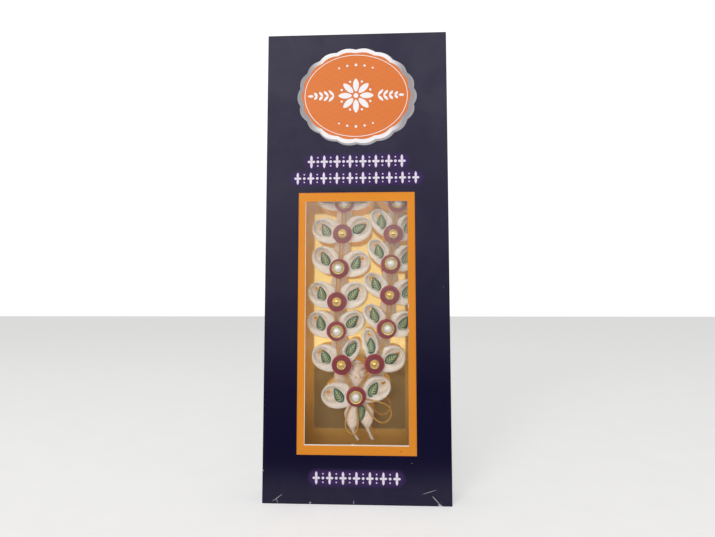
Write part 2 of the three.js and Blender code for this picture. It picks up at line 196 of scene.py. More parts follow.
view = {
    "place": (13.64, -290.41, 102.10),
    "up": 4.49,  # degrees above level
    "left": 2.69,  # degrees towards -X
    "lens": 26.0,
}
cameraData = bpy.data.cameras.new("camera")
cameraData.lens = view["lens"]
cameraData.sensor_width = 36
cameraData.clip_start = 0.01
camera = bpy.data.objects.new("camera", cameraData)
camera.location = Vector(view["place"]) * millimetre
camera.rotation_euler = (math.radians(90 + view["up"]), 0, math.radians(view["left"]))
bpy.context.scene.collection.objects.link(camera)
bpy.context.scene.camera = camera

studio = {
    "worldSeen": 1.1,  # in the camera and in reflections
    "worldLight": 0.3,  # on matt surfaces
    "floorSize": 14.0,
    "floorGlow": 0.5,
    "shadeSheetEdges": (-0.95, -0.06),  # a dark sheet in front that glows faintly, seen only in reflections: a painted dark reflection
    "shadeSheetHalfWidth": 1.6,
    "shadeSheetHeight": 0.002,
    "shadeSheetTone": paint(0.055, 0.035, 0.055),
    "clearLayers": 32,  # how many see-through fibre layers a ray may pass
}
lights = {
    "key": {"place": (-0.4, -1.45, 0.6), "aim": (0, 0, 0.12), "size": (0.6, 0.6), "watts": 4.5},
    "fill": {"place": (0.15, -1.6, 0.5), "aim": (0, 0, 0.12), "size": (1.0, 0.7), "watts": 5.2,
             "colour": (1.0, 0.94, 0.86)},
    "spark": {"place": (-0.7, -1.45, 0.6), "aim": (0, 0, 0.12), "size": (0.5, 0.5), "watts": 5,
              "gloss": True},
    # what the gold card throws back on the cotton and on the front's inner side
    "cardGlow": {"place": (-0.006, 0.006, 0.12), "aim": (-0.006, -1, 0.12), "size": (0.078, 0.14),
                 "watts": 0.0145, "colour": (1.0, 0.74, 0.34)},
}


def areaLight(name, place, aim, size, watts, colour=(1.0, 1.0, 1.0), gloss=False):
    data = bpy.data.lights.new(name, "AREA")
    data.shape = "RECTANGLE"
    data.size, data.size_y = size
    data.energy = watts
    data.color = colour
    light = bpy.data.objects.new(name, data)
    light.location = place
    light.rotation_euler = (Vector(aim) - Vector(place)).to_track_quat("-Z", "Y").to_euler()
    light.visible_glossy = gloss
    bpy.context.scene.collection.objects.link(light)


def buildStudio():
    scene = bpy.context.scene
    scene.view_settings.view_transform = "Standard"
    world = bpy.data.worlds.new("studio")
    world.use_nodes = True
    sky = world.node_tree
    matt = put(sky, "ShaderNodeLightPath").outputs["Is Diffuse Ray"]
    step = studio["worldLight"] - studio["worldSeen"]
    strength = sums(sky, "MULTIPLY_ADD", matt, step, studio["worldSeen"])
    plug(sky, sky.nodes["Background"], Color=paint(1.0, 0.99, 0.98), Strength=strength)
    scene.world = world
    scene.cycles.transparent_max_bounces = studio["clearLayers"]
    for name, light in lights.items():
        areaLight(name, **light)


def stagePlane(name, halfWidth, near, far, height, material):
    bm = bmesh.new()
    bmesh.ops.create_grid(bm, x_segments=1, y_segments=1, size=1.0)
    bmesh.ops.scale(bm, vec=(halfWidth, (near - far) / 2, 1), verts=bm.verts)
    bmesh.ops.translate(bm, vec=(0, (near + far) / 2, height), verts=bm.verts)
    mesh = bpy.data.meshes.new(name)
    bm.to_mesh(mesh)
    bm.free()
    mesh.materials.append(material)
    plane = bpy.data.objects.new(name, mesh)
    bpy.context.scene.collection.objects.link(plane)
    return plane


def paleFloor():
    material, tree, shader = newMaterial("paleFloor")
    coords = put(tree, "ShaderNodeTexCoord").outputs["Object"]
    grain = put(tree, "ShaderNodeTexNoise", {"Vector": coords, "Scale": 40.0}).outputs["Fac"]
    tone = blendColour(tree, grain, paint(0.86, 0.86, 0.86), paint(0.9, 0.9, 0.9))
    plug(tree, shader, Base_Color=tone, Roughness=1.0, Specular_IOR_Level=0.0, Emission_Color=tone,
         Emission_Strength=studio["floorGlow"])
    return material


# the faint dark glow of the sheet that paints a dark reflection in front
def shadeSheetGlow():
    material, tree, shader = newMaterial("shadeSheetTone")
    tree.nodes.remove(shader)
    glow = put(tree, "ShaderNodeEmission", {"Color": studio["shadeSheetTone"], "Strength": 1.0})
    tree.links.new(glow.outputs[0], tree.nodes["Material Output"].inputs["Surface"])
    return material


def buildStage():
    half = studio["floorSize"] / 2
    floor = stagePlane("floor", half, half, -half, 0, paleFloor())
    far, near = studio["shadeSheetEdges"]
    shadeSheet = stagePlane("reflectedShadeSheet", studio["shadeSheetHalfWidth"], near, far, studio["shadeSheetHeight"],
                       shadeSheetGlow())
    shadeSheet.visible_camera = shadeSheet.visible_diffuse = shadeSheet.visible_shadow = False
    shadeSheet.visible_transmission = shadeSheet.visible_volume_scatter = False


buildStudio()
buildStage()
print("studio ready")


# Shared shader groups

def shaderGroup(name, inputs, outputs):
    tree = bpy.data.node_groups.new(name, "ShaderNodeTree")
    for label, kind, value in inputs:
        socket = tree.interface.new_socket(label, in_out="INPUT", socket_type=kind)
        if value is not None:
            socket.default_value = value
    for label, kind in outputs:
        tree.interface.new_socket(label, in_out="OUTPUT", socket_type=kind)
    return tree, put(tree, "NodeGroupInput").outputs, put(tree, "NodeGroupOutput").inputs


def buildGrainGroup():  # fine mottling of a surface, with its height
    tree, given, result = shaderGroup(
        "surfaceGrain",
        [("Vector", "NodeSocketVector", None), ("Scale", "NodeSocketFloat", 1500.0),
         ("Broad Scale", "NodeSocketFloat", 60.0)],
        [("Fine", "NodeSocketFloat"), ("Broad", "NodeSocketFloat")])
    fine = put(tree, "ShaderNodeTexNoise", {
        "Vector": given["Vector"], "Scale": given["Scale"], "Detail": 4.0, "Roughness": 0.6})
    broad = put(tree, "ShaderNodeTexNoise", {
        "Vector": given["Vector"], "Scale": given["Broad Scale"], "Detail": 3.0})
    tree.links.new(fine.outputs["Fac"], result["Fine"])
    tree.links.new(broad.outputs["Fac"], result["Broad"])
    return tree


def buildSpeckGroup():  # scattered specks of dust or lint, 1 inside a speck
    tree, given, result = shaderGroup(
        "specks",
        [("Vector", "NodeSocketVector", None), ("Scale", "NodeSocketFloat", 250.0),
         ("Size", "NodeSocketFloat", 0.1)],
        [("Mask", "NodeSocketFloat")])
    cells = put(tree, "ShaderNodeTexVoronoi", {"Vector": given["Vector"], "Scale": given["Scale"]})
    spot = sums(tree, "LESS_THAN", cells.outputs["Distance"], given["Size"])
    sparse = put(tree, "ShaderNodeSeparateColor", {"Color": cells.outputs["Color"]}).outputs[0]
    chosen = sums(tree, "GREATER_THAN", sparse, 0.82)
    tree.links.new(product(tree, spot, chosen), result["Mask"])
    return tree


def buildFibreGroup():  # streaks that run along the piece's own U, as cotton or thread lies
    tree, given, result = shaderGroup(
        "fibreStreaks",
        [("UV", "NodeSocketVector", None), ("Along", "NodeSocketFloat", 6.0),
         ("Across", "NodeSocketFloat", 60.0)],
        [("Streak", "NodeSocketFloat"), ("Wisp", "NodeSocketFloat")])
    stretch = put(tree, "ShaderNodeCombineXYZ", {"X": given["Along"], "Y": given["Across"], "Z": 1.0})
    laid = put(tree, "ShaderNodeVectorMath", {0: given["UV"], 1: stretch.outputs[0]},
               operation="MULTIPLY").outputs[0]
    streak = put(tree, "ShaderNodeTexNoise", {
        "Vector": laid, "Scale": 1.0, "Detail": 5.0, "Roughness": 0.65, "Distortion": 0.6})
    wisp = put(tree, "ShaderNodeTexNoise", {"Vector": laid, "Scale": 0.28, "Detail": 2.0})
    tree.links.new(streak.outputs["Fac"], result["Streak"])
    tree.links.new(wisp.outputs["Fac"], result["Wisp"])
    return tree


grainGroup = buildGrainGroup()
speckGroup = buildSpeckGroup()
fibreGroup = buildFibreGroup()


def useGroup(tree, group, **inputs):
    named = {key.replace("_", " "): value for key, value in inputs.items()}
    return put(tree, "ShaderNodeGroup", named, node_tree=group)


def objectPlace(tree):
    return put(tree, "ShaderNodeTexCoord").outputs["Object"]


def ownUv(tree):
    return put(tree, "ShaderNodeUVMap", uv_map="UVMap").outputs[0]


# Carton: sizes and materials

carton = {
    "width": 100.0, "depth": 24.0, "height": 256.0, "board": 0.6, "crease": 0.8,
    "window": (-27.6, 27.6, 30.7, 160.7),  # left, right, bottom, top
    "frameBand": (-31.7, 31.7, 25.3, 165.7),  # outer edges of the printed band
    "lidGap": 0.3,
    "bow": 0.25,  # how far the front swells
    "wallSpacing": (7.0, 8.0),  # of the cuts that let the front swell, across and up
    "tongueLean": 2.4, "tongueShoulder": 4.5, "tongueTaper": 6.0, "flapTaper": 7.0,
}
printTones = {
    "navy": paint(0.0022, 0.0012, 0.0175), "navyLight": paint(0.0034, 0.002, 0.0225),
    # haze is the tone of a painted reflection on the laminate
    "haze": paint(0.105, 0.1, 0.136),
    "violet": paint(0.045, 0.02, 0.1), "violetShare": 0.8, "violetReach": (0.0025, 0.0055),
    "bare": paint(0.55, 0.53, 0.55),
    "cornerScuff": 0.85, "creaseScuff": 0.76,  # a lower number wears more of the print away
}
ornamentRows = [
    {"z": 183.1, "half": 24.9, "motifs": 15, "tall": 7.2},
    {"z": 173.8, "half": 32.4, "motifs": 19, "tall": 6.7},
    {"z": 13.5, "half": 21.2, "motifs": 13, "tall": 6.7},
]


def paintedLaminateReflection(tree, place, z):  # painted reflection of light on the laminate, stronger towards the top of the carton, and at its foot
    rising = sums(tree, "MULTIPLY_ADD", z, 1.9, -0.114, clamp=True)
    haze = sums(tree, "MAXIMUM", rising, remap(tree, z, 0.14, 0.0, 0.004, 0.024))
    cloud = put(tree, "ShaderNodeTexNoise", {
        "Vector": place, "Scale": 26.0, "Detail": 5.0, "Roughness": 0.6, "Distortion": 0.8})
    cloudy = remap(tree, cloud.outputs["Fac"], 0.78, 1.2, 0.3, 0.7)
    return sums(tree, "MULTIPLY", haze, cloudy, clamp=True)


def boardScuffs(tree, place):  # at the bottom corners, along the upright creases and at the foot
    x, y, z = parts(tree, place)
    beside, deep = sums(tree, "ABSOLUTE", x), sums(tree, "ABSOLUTE", y)
    worn = put(tree, "ShaderNodeTexNoise", {
        "Vector": place, "Scale": 420.0, "Detail": 6.0, "Roughness": 0.7, "Distortion": 1.2})
    worn = worn.outputs["Fac"]
    low = remap(tree, z, 1.0, 0.0, 0.0015, 0.011)
    outer = remap(tree, beside, 0.0, 1.0, 0.030, 0.0485)
    corner = sums(tree, "ADD", worn, product(tree, low, outer, 0.2))
    corner = sums(tree, "GREATER_THAN", corner, printTones["cornerScuff"])
    across = remap(tree, beside, 0.0, 1.0, 0.0494, 0.0500)
    deepEdge = remap(tree, deep, 0.0, 1.0, 0.0114, 0.0120)
    onRight = sums(tree, "GREATER_THAN", x, 0.0)
    rubbed = sums(tree, "MULTIPLY_ADD", onRight, remap(tree, z, 0.0, 0.14, 0.12, 0.2), 0.14)
    edge = product(tree, across, deepEdge, rubbed)
    foot = remap(tree, z, 0.15, 0.0, 0.0, 0.0008)
    crease = sums(tree, "ADD", worn, sums(tree, "MAXIMUM", edge, foot))
    crease = sums(tree, "GREATER_THAN", crease, printTones["creaseScuff"])
    return sums(tree, "MAXIMUM", corner, crease)


def navyPrint():
    material, tree, shader = newMaterial("navyPrint")
    place = objectPlace(tree)
    x, y, z = parts(tree, place)
    beside = sums(tree, "ABSOLUTE", x)
    grain = useGroup(tree, grainGroup, Vector=place, Scale=2600.0, Broad_Scale=22.0)
    colour = blendColour(tree, grain.outputs["Broad"], printTones["navy"], printTones["navyLight"])
    # painted reflection, lighter towards the top and at the foot
    colour = blendColour(tree, paintedLaminateReflection(tree, place, z), colour, printTones["haze"])
    inFront = sums(tree, "LESS_THAN", y, -0.0112)
    for row in ornamentRows:  # a soft violet glow printed behind each row
        off = sums(tree, "MAXIMUM", sums(tree, "SUBTRACT", beside, row["half"] * millimetre), 0.0)
        above = sums(tree, "SUBTRACT", z, row["z"] * millimetre)
        away = sums(tree, "ADD", product(tree, off, off), product(tree, above, above))
        away = sums(tree, "SQRT", away)
        glow = remap(tree, away, printTones["violetShare"], 0.0, *printTones["violetReach"])
        colour = blendColour(tree, product(tree, glow, inFront), colour, printTones["violet"])
    scuff = boardScuffs(tree, place)
    specks = useGroup(tree, speckGroup, Vector=place, Scale=170.0, Size=0.035)
    bare = sums(tree, "MAXIMUM", scuff, product(tree, specks.outputs["Mask"], 0.5))
    colour = blendColour(tree, bare, colour, printTones["bare"])
    rough = sums(tree, "ADD", remap(tree, grain.outputs["Broad"], 0.36, 0.5), product(tree, scuff, 0.4))
    plug(tree, shader, Base_Color=colour, Roughness=rough, Specular_IOR_Level=0.11,
         Normal=bumped(tree, grain.outputs["Fine"], 0.00002, 0.35))
    return material


# the grey back board inside, painted warm and light as bounce light from the gold card
def insideWithPaintedBounce():
    material, tree, shader = newMaterial("insideWithPaintedBounce")
    place = objectPlace(tree)
    grain = useGroup(tree, grainGroup, Vector=place, Scale=900.0, Broad_Scale=60.0)
    colour = blendColour(tree, grain.outputs["Fine"], paint(0.68, 0.57, 0.43), paint(0.82, 0.72, 0.58))
    plug(tree, shader, Base_Color=colour, Roughness=0.85,
         Normal=bumped(tree, grain.outputs["Fine"], 0.00005, 0.6))
    return material


def cutBoard():
    material, tree, shader = newMaterial("cutBoard")
    grain = useGroup(tree, grainGroup, Vector=objectPlace(tree), Scale=1800.0, Broad_Scale=150.0)
    colour = blendColour(tree, grain.outputs["Broad"], paint(0.62, 0.56, 0.5), paint(0.86, 0.82, 0.78))
    plug(tree, shader, Base_Color=colour, Roughness=0.9,
         Normal=bumped(tree, grain.outputs["Fine"], 0.0001, 0.7))
    return material


def ink(name, first, second, fade=None, lattice=False):  # the fade lies towards the sides
    material, tree, shader = newMaterial(name)
    place = objectPlace(tree)
    grain = useGroup(tree, grainGroup, Vector=place, Scale=2600.0, Broad_Scale=35.0)
    specks = useGroup(tree, speckGroup, Vector=place, Scale=260.0, Size=0.03)
    x, y, z = parts(tree, place)
    colour = blendColour(tree, grain.outputs["Broad"], first, second)
    dust = product(tree, specks.outputs["Mask"], 0.45)
    colour = blendColour(tree, dust, colour, paint(0.2, 0.1, 0.05))
    if lattice:
        lines = []
        for slope in ("ADD", "SUBTRACT"):
            along = sums(tree, slope, product(tree, x, 0.6), z)
            lines.append(sums(tree, "ABSOLUTE", sums(tree, "SINE", product(tree, along, 900.0))))
        line = remap(tree, sums(tree, "MINIMUM", *lines), 0.22, 0.0, 0.05, 0.2)
        colour = blendColour(tree, line, colour, paint(0.5, 0.1, 0.02))
    if fade:
        outward = remap(tree, sums(tree, "ABSOLUTE", x), 0.0, 1.0, 0.017, 0.027)
        colour = blendColour(tree, outward, colour, fade)
    plug(tree, shader, Base_Color=colour, Roughness=0.36, Specular_IOR_Level=0.22,
         Normal=bumped(tree, grain.outputs["Fine"], 0.00002, 0.3))
    return material


boardMaterials = [navyPrint(), insideWithPaintedBounce(), cutBoard()]
orangeInk = ink("orangeInk", paint(0.65, 0.22, 0.014), paint(0.7, 0.25, 0.02))
badgeInk = ink("badgeInk", paint(0.64, 0.17, 0.042), paint(0.68, 0.2, 0.055), lattice=True)
whiteInk = ink("whiteInk", paint(0.78, 0.76, 0.8), paint(0.88, 0.86, 0.88))
rimInk = ink("rimInk", paint(0.78, 0.76, 0.8), paint(0.88, 0.86, 0.88), fade=paint(0.3, 0.29, 0.31))
shadeInk = ink("shadeInk", paint(0.3, 0.29, 0.31), paint(0.4, 0.39, 0.42))
lilacInk = ink("lilacInk", paint(0.62, 0.58, 0.7), paint(0.74, 0.7, 0.8))
fineLineInk = ink("fineLineInk", paint(0.6, 0.17, 0.02), paint(0.66, 0.2, 0.03))


def swell(x, z):  # how far the front panel stands out of its plane at a place
    half, tall = carton["width"] / 2, carton["height"]
    bulge = math.cos(math.pi * x / carton["width"]) * math.sin(math.pi * min(max(z / tall, 0), 1))
    return -carton["bow"] * bulge * (1 - 0.5 * (1 - abs(x) / half) * math.sin(3 * math.pi * z / tall))


# Carton: board

def foldedBoard(bm, name, body, stands):
    piece = makePiece(bm, name, boardMaterials, body, stands, closed=False)
    thick = piece.modifiers.new("thickness", "SOLIDIFY")
    thick.thickness = carton["board"] * millimetre
    thick.offset = -1
    thick.use_even_offset = True
    thick.material_offset = 1
    thick.material_offset_rim = 2
    return piece


def buildWalls():
    width, depth, height, board = (carton[k] for k in ("width", "depth", "height", "board"))
    left, right, bottom, top = carton["window"]
    bm = newMesh()
    corners = [bm.verts.new(p) for p in (
        (-width / 2, -depth / 2, 0), (width / 2, -depth / 2, 0),
        (width / 2, depth / 2, 0), (-width / 2, depth / 2, 0))]
    for a, b in zip(corners, corners[1:] + corners[:1]):
        bm.edges.new((a, b))
    bmesh.ops.bevel(bm, geom=list(bm.verts), offset=carton["crease"], segments=5, profile=0.5,
                    affect="VERTICES", material=-1)
    made = bmesh.ops.extrude_edge_only(bm, edges=list(bm.edges))
    raised = [g for g in made["geom"] if isinstance(g, bmesh.types.BMVert)]
    bmesh.ops.translate(bm, vec=(0, 0, height), verts=raised)
    wallLow = board + carton["lidGap"]
    stepX, stepZ = carton["wallSpacing"]
    cutsZ = {bottom, top, wallLow, height - wallLow, *[stepZ * i for i in range(1, int(height / stepZ))]}
    across = int(width / 2 / stepX)
    cutsX = {left, right, *[stepX * i for i in range(-across, across + 1)]}
    planes = [((0, 0, z), (0, 0, 1)) for z in sorted(cutsZ)]
    planes += [((x, 0, 0), (1, 0, 0)) for x in sorted(cutsX)]
    planes.append(((0, -depth / 2 + board, 0), (0, 1, 0)))
    for at, normal in planes:
        geometry = [*bm.verts, *bm.edges, *bm.faces]
        bmesh.ops.bisect_plane(bm, geom=geometry, plane_co=at, plane_no=normal, dist=1e-4)
    gone = []
    for face in bm.faces:
        c = face.calc_center_median()
        inWindow = c.y < -depth / 2 + 0.01 and left < c.x < right and bottom < c.z < top
        pastWalls = c.y > -depth / 2 + board and not wallLow < c.z < height - wallLow
        if inWindow or pastWalls:
            gone.append(face)
    bmesh.ops.delete(bm, geom=gone, context="FACES")
    bmesh.ops.recalc_face_normals(bm, faces=bm.faces)
    sample = max(bm.faces, key=lambda f: -f.calc_center_median().y)
    if sample.normal.y > 0:
        bmesh.ops.reverse_faces(bm, faces=bm.faces)
    for v in bm.verts:
        if v.co.y < -depth / 2 + 0.05:
            v.co.y += swell(v.co.x, v.co.z)
    foldedBoard(bm, "cartonWalls", "root", ["carton_body"])


def boardPanel(name, outline, outward, body, stands):  # a flat flap, drawn on its printed side
    bm = newMesh()
    face = bm.faces.new([bm.verts.new(p) for p in outline])
    face.normal_update()
    if face.normal.dot(Vector(outward)) < 0:
        bmesh.ops.reverse_faces(bm, faces=[face])
    piece = foldedBoard(bm, name, body, stands)
    soften = piece.modifiers.new("softEdges", "BEVEL")
    soften.width = 0.00012
    soften.segments = 2
    soften.limit_method = "ANGLE"


def buildClosures():
    board = carton["board"]
    for end in ("top", "bottom"):
        up = 1 if end == "top" else -1
        body = "lid" if end == "top" else "root"
        low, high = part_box(f"{end}_lid")
        x, yNear, yFar = high.x * 1000, low.y * 1000, high.y * 1000
        z = high.z * 1000 if up > 0 else low.z * 1000
        boardPanel(f"{end}Lid", [(-x, yNear, z), (x, yNear, z), (x, yFar, z), (-x, yFar, z)],
                   (0, 0, up), body, [f"{end}_lid"])
        low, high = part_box(f"{end}_tongue")
        half = high.x * 1000
        zRoot, zTip = (high.z * 1000, low.z * 1000) if up > 0 else (low.z * 1000, high.z * 1000)
        zRoot -= up * 0.15  # clear of the lid's inner side
        shoulder = zRoot - up * carton["tongueShoulder"]
        yRoot = front + board + carton["lidGap"]
        yShoulder, yTip = yRoot + carton["tongueLean"] * 0.45, yRoot + carton["tongueLean"]
        tipHalf = half - carton["tongueTaper"]
        outline = [(-half, yRoot, zRoot), (half, yRoot, zRoot), (half, yShoulder, shoulder),
                   (tipHalf, yTip, zTip), (-tipHalf, yTip, zTip), (-half, yShoulder, shoulder)]
        boardPanel(f"{end}Tongue", outline, (0, -1, 0), body, [f"{end}_tongue"])
        for side, label in ((-1, "left"), (1, "right")):
            low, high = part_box(f"{end}_dust_flap_{label}")
            z = high.z * 1000 if up > 0 else low.z * 1000
            near, far = low.y * 1000, high.y * 1000
            root = (high.x if side > 0 else -low.x) * 1000
            tip = (low.x if side > 0 else -high.x) * 1000
            taper = carton["flapTaper"]
            outline = [(side * root, near, z), (side * root, far, z), (side * (tip + taper), far, z),
                       (side * tip, far - taper, z), (side * tip, near + taper, z),
                       (side * (tip + taper), near, z)]
            boardPanel(f"{end}DustFlap{label.title()}", outline, (0, 0, up), "root",
                       [f"{end}_dust_flap_{label}"])


def buildLidFold():  # the printed paper that runs over the top fold
    back, height = carton["depth"] / 2, carton["height"]
    half = carton["width"] / 2 - carton["crease"]
    over = [(0.03, -1.6), (0.03, -0.8), (0.02, -0.5), (-0.08, -0.2), (-0.3, 0.0), (-0.7, 0.03),
            (-1.1, 0.03)]
    last = len(over) - 1
    bm = newMesh()

    def place(u, v):
        outward, rise = over[round(v * last)]
        return Vector((half * (2 * u - 1), back + outward, height + rise))
    skin(bm, 14, last, place)
    for face in bm.faces:
        face.normal_update()
        if face.normal.dot(Vector((0, 1, 1))) < 0:
            face.normal_flip()
    piece = makePiece(bm, "lidFold", [boardMaterials[0]], body=None, closed=False)
    low, high = (0, back, height - 0.8), (0, back - 0.4, height)
    Vector(low) * millimetre
    Vector(high) * millimetre
    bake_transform(piece)


buildWalls()
buildClosures()
buildLidFold()
print("carton folded")


# Carton: print

printDepth = 0.04  # how far ink lies over the board, so that the two don't flicker


def onFront(bm, layer=1):
    for v in bm.verts:
        v.co.y = front + swell(v.co.x, v.co.z) - printDepth * layer


def flatPrint(bm, name, material, layer=1):
    onFront(bm, layer)
    bmesh.ops.recalc_face_normals(bm, faces=bm.faces)
    for face in bm.faces:
        face.normal_update()
        if face.normal.y > 0:
            face.normal_flip()
    makePiece(bm, name, [material], closed=False)


def cutFlat(bm, spacing=7.0):  # splits a flat print so that it follows the swelling board
    xs = [v.co.x for v in bm.verts]
    zs = [v.co.z for v in bm.verts]
    for axis, values in ((0, xs), (2, zs)):
        for i in range(int(min(values) // spacing), int(max(values) // spacing) + 1):
            at, normal = [0, 0, 0], [0, 0, 0]
            at[axis], normal[axis] = i * spacing, 1
            geometry = [*bm.verts, *bm.edges, *bm.faces]
            bmesh.ops.bisect_plane(bm, geom=geometry, plane_co=at, plane_no=normal, dist=1e-4)


def rectangleRing(inner, outer):
    bm = newMesh()
    rings = []
    for left, right, bottom, top in (inner, outer):
        points = [(left, 0, bottom), (right, 0, bottom), (right, 0, top), (left, 0, top)]
        verts = [bm.verts.new(p) for p in points]
        rings.append([bm.edges.new((a, b)) for a, b in zip(verts, verts[1:] + verts[:1])])
    bmesh.ops.bridge_loops(bm, edges=rings[0] + rings[1])
    return bm


def grown(box, by):
    left, right, bottom, top = box
    return (left - by, right + by, bottom - by, top + by)


def buildFrameBand():
    bm = rectangleRing(grown(carton["window"], 0.12), carton["frameBand"])
    cutFlat(bm)
    flatPrint(bm, "frameBand", orangeInk)
    left, right, bottom, top = carton["window"]
    bm = rectangleRing(carton["window"], (left - 0.25, right + 0.03, bottom - 0.5, top + 0.03))
    cutFlat(bm)
    flatPrint(bm, "windowCutEdge", boardMaterials[2], layer=2)
    bm = rectangleRing(grown(carton["frameBand"], -0.55), grown(carton["frameBand"], -0.4))
    cutFlat(bm)
    flatPrint(bm, "frameLine", fineLineInk, layer=2)


def ellipse(bm, at, across, up, sides=14):
    made = bmesh.ops.create_circle(bm, cap_ends=True, cap_tris=False, segments=sides, radius=1)
    for v in made["verts"]:
        v.co = (at[0] + across * v.co.x, 0, at[1] + up * v.co.y)


def dot(bm, at, radius, sides=14):
    ellipse(bm, at, radius, radius, sides)


def lens(bm, at, length, width, turn, sides=20):  # a pointed petal or leaf, with its root at the place
    made = bmesh.ops.create_circle(bm, cap_ends=True, cap_tris=False, segments=sides, radius=1)
    c, s = math.cos(math.radians(turn)), math.sin(math.radians(turn))
    for v in made["verts"]:
        angle = math.atan2(v.co.y, v.co.x)
        along = length * (1 - math.cos(angle)) / 2
        across = width / 2 * math.sin(angle) * abs(math.sin(angle)) ** 0.4
        v.co = (at[0] + along * c - across * s, 0, at[1] + along * s + across * c)


marks = {
    "rubbed": [  # x, z, half sizes
        (-2.1, 30.7, 0.75, 0.42), (27.8, 103.8, 0.2, 1.3), (27.8, 90.7, 0.18, 0.8)],
    "creases": [  # x, z, length, width, turn
        (-44.5, 1.1, 6.7, 0.34, 35), (-41.6, 0.3, 2.8, 0.3, 103), (-24.8, 0.2, 1.4, 0.7, 50),
        (-1.5, 0.2, 2.1, 0.34, 86), (43.9, 0.4, 6.6, 0.4, 133), (42.4, 0.9, 2.4, 1.1, 340),
        (42.2, 8.4, 8.6, 0.22, 197), (-49.4, 16.5, 0.9, 0.4, 90)],
    "speck": (23.4, 27.5, 0.4, 0.2),
}


def buildWear():  # rubbed spots at the window's edge, fold lines at the foot and a speck on the band
    bm = newMesh()
    for x, z, across, up in marks["rubbed"]:
        ellipse(bm, (x, z), across, up)
    flatPrint(bm, "rubbedSpots", boardMaterials[2], layer=3)
    bm = newMesh()
    for x, z, length, width, turn in marks["creases"]:
        lens(bm, (x, z), length, width, turn, 12)
    flatPrint(bm, "footCreases", shadeInk, layer=2)
    bm = newMesh()
    x, z, across, up = marks["speck"]
    ellipse(bm, (x, z), across, up, 12)
    flatPrint(bm, "darkSpeck", boardMaterials[0], layer=2)


badge = {
    "middle": (-0.3, 220.4), "across": 32.6, "up": 27.4, "rim": 2.3,
    "lobes": 18, "lobeDepth": 0.035, "segments": 216,
    "shadeGrow": (0.6, 0.5), "shadeShift": (0.5, -0.7),
    "lineInset": 2.0, "lineWidth": 0.35, "lineSegments": 144,
    "petals": 8, "petalFrom": 2.2, "petalSize": (7.6, 3.3), "heart": 1.35, "dotFrom": 8.6, "dot": 0.65,
    "sprigPairs": 4, "sprigFrom": 12.2, "sprigStep": 3.1, "sprigLeaf": (4.4, 1.5), "sprigShrink": 0.6,
    "sprigTurn": 48, "sprigTip": (23.6, 3.2),
    "arcDots": 5, "arcReach": (21.4, 17.6), "arcStep": 13, "arcDot": 0.75, "arcShrink": 0.12,
}


def scallopedOval(bm, across, up, lobeDepth):
    made = bmesh.ops.create_circle(bm, cap_ends=True, cap_tris=False, segments=badge["segments"],
                                   radius=1)
    x, z = badge["middle"]
    for v in made["verts"]:
        angle = math.atan2(v.co.y, v.co.x)
        reach = 1 - lobeDepth * (1 - abs(math.cos(badge["lobes"] * angle / 2)))
        v.co = (x + across * math.cos(angle) * reach, 0, z + up * math.sin(angle) * reach)


def ovalRing(across, up, thickness):
    bm = newMesh()
    rings = []
    for grow in (0, thickness):
        made = bmesh.ops.create_circle(bm, cap_ends=False, segments=badge["lineSegments"], radius=1)
        verts = made["verts"]
        x, z = badge["middle"]
        for v in verts:
            v.co = (x + (across + grow) * v.co.x, 0, z + (up + grow) * v.co.y)
        rings += dict.fromkeys(e for v in verts for e in v.link_edges)
    bmesh.ops.bridge_loops(bm, edges=rings)
    return bm


def buildBadge():
    across, up, rim, lobeDepth = badge["across"], badge["up"], badge["rim"], badge["lobeDepth"]
    moreAcross, moreUp = badge["shadeGrow"]
    shiftX, shiftZ = badge["shadeShift"]
    bm = newMesh()
    scallopedOval(bm, across + moreAcross, up + moreUp, lobeDepth)
    bmesh.ops.translate(bm, vec=(shiftX, 0, shiftZ), verts=bm.verts)
    flatPrint(bm, "badgeShade", shadeInk)
    bm = newMesh()
    scallopedOval(bm, across, up, lobeDepth)
    flatPrint(bm, "badgeRim", rimInk, layer=2)
    bm = newMesh()
    scallopedOval(bm, across - rim, up - rim, lobeDepth * 0.8)
    flatPrint(bm, "badgeField", badgeInk, layer=3)
    inset = rim + badge["lineInset"]
    flatPrint(ovalRing(across - inset, up - inset, badge["lineWidth"]), "badgeLine", whiteInk, layer=4)


def buildRosette():
    x, z = badge["middle"]
    petals, near, far = badge["petals"], badge["petalFrom"], badge["dotFrom"]
    bm = newMesh()
    for i in range(petals):
        turn = 360 * i / petals
        c, s = math.cos(math.radians(turn)), math.sin(math.radians(turn))
        lens(bm, (x + near * c, z + near * s), *badge["petalSize"], turn)
        middle = math.radians(turn + 180 / petals)
        dot(bm, (x + far * math.cos(middle), z + far * math.sin(middle)), badge["dot"])
    dot(bm, (x, z), badge["heart"], 24)
    leafLength, leafWidth = badge["sprigLeaf"]
    tipFrom, tipLength = badge["sprigTip"]
    acrossReach, upReach = badge["arcReach"]
    for side in (-1, 1):
        outward = badge["sprigTurn"] if side > 0 else 180 - badge["sprigTurn"]
        for i in range(badge["sprigPairs"]):  # a sprig of paired leaves on each side
            stem = (x + side * (badge["sprigFrom"] + badge["sprigStep"] * i), z)
            for lift in (-1, 1):
                lens(bm, stem, leafLength - badge["sprigShrink"] * i, leafWidth, lift * outward)
        lens(bm, (x + side * tipFrom, z), tipLength, leafWidth, 0 if side > 0 else 180)
        for i in range(badge["arcDots"]):  # small dots over and under
            away = i - badge["arcDots"] // 2
            angle = math.radians(90 * side + away * badge["arcStep"])
            at = (x + acrossReach * math.cos(angle), z + upReach * math.sin(angle))
            dot(bm, at, badge["arcDot"] - badge["arcShrink"] * abs(away))
    flatPrint(bm, "badgeRosette", whiteInk, layer=4)


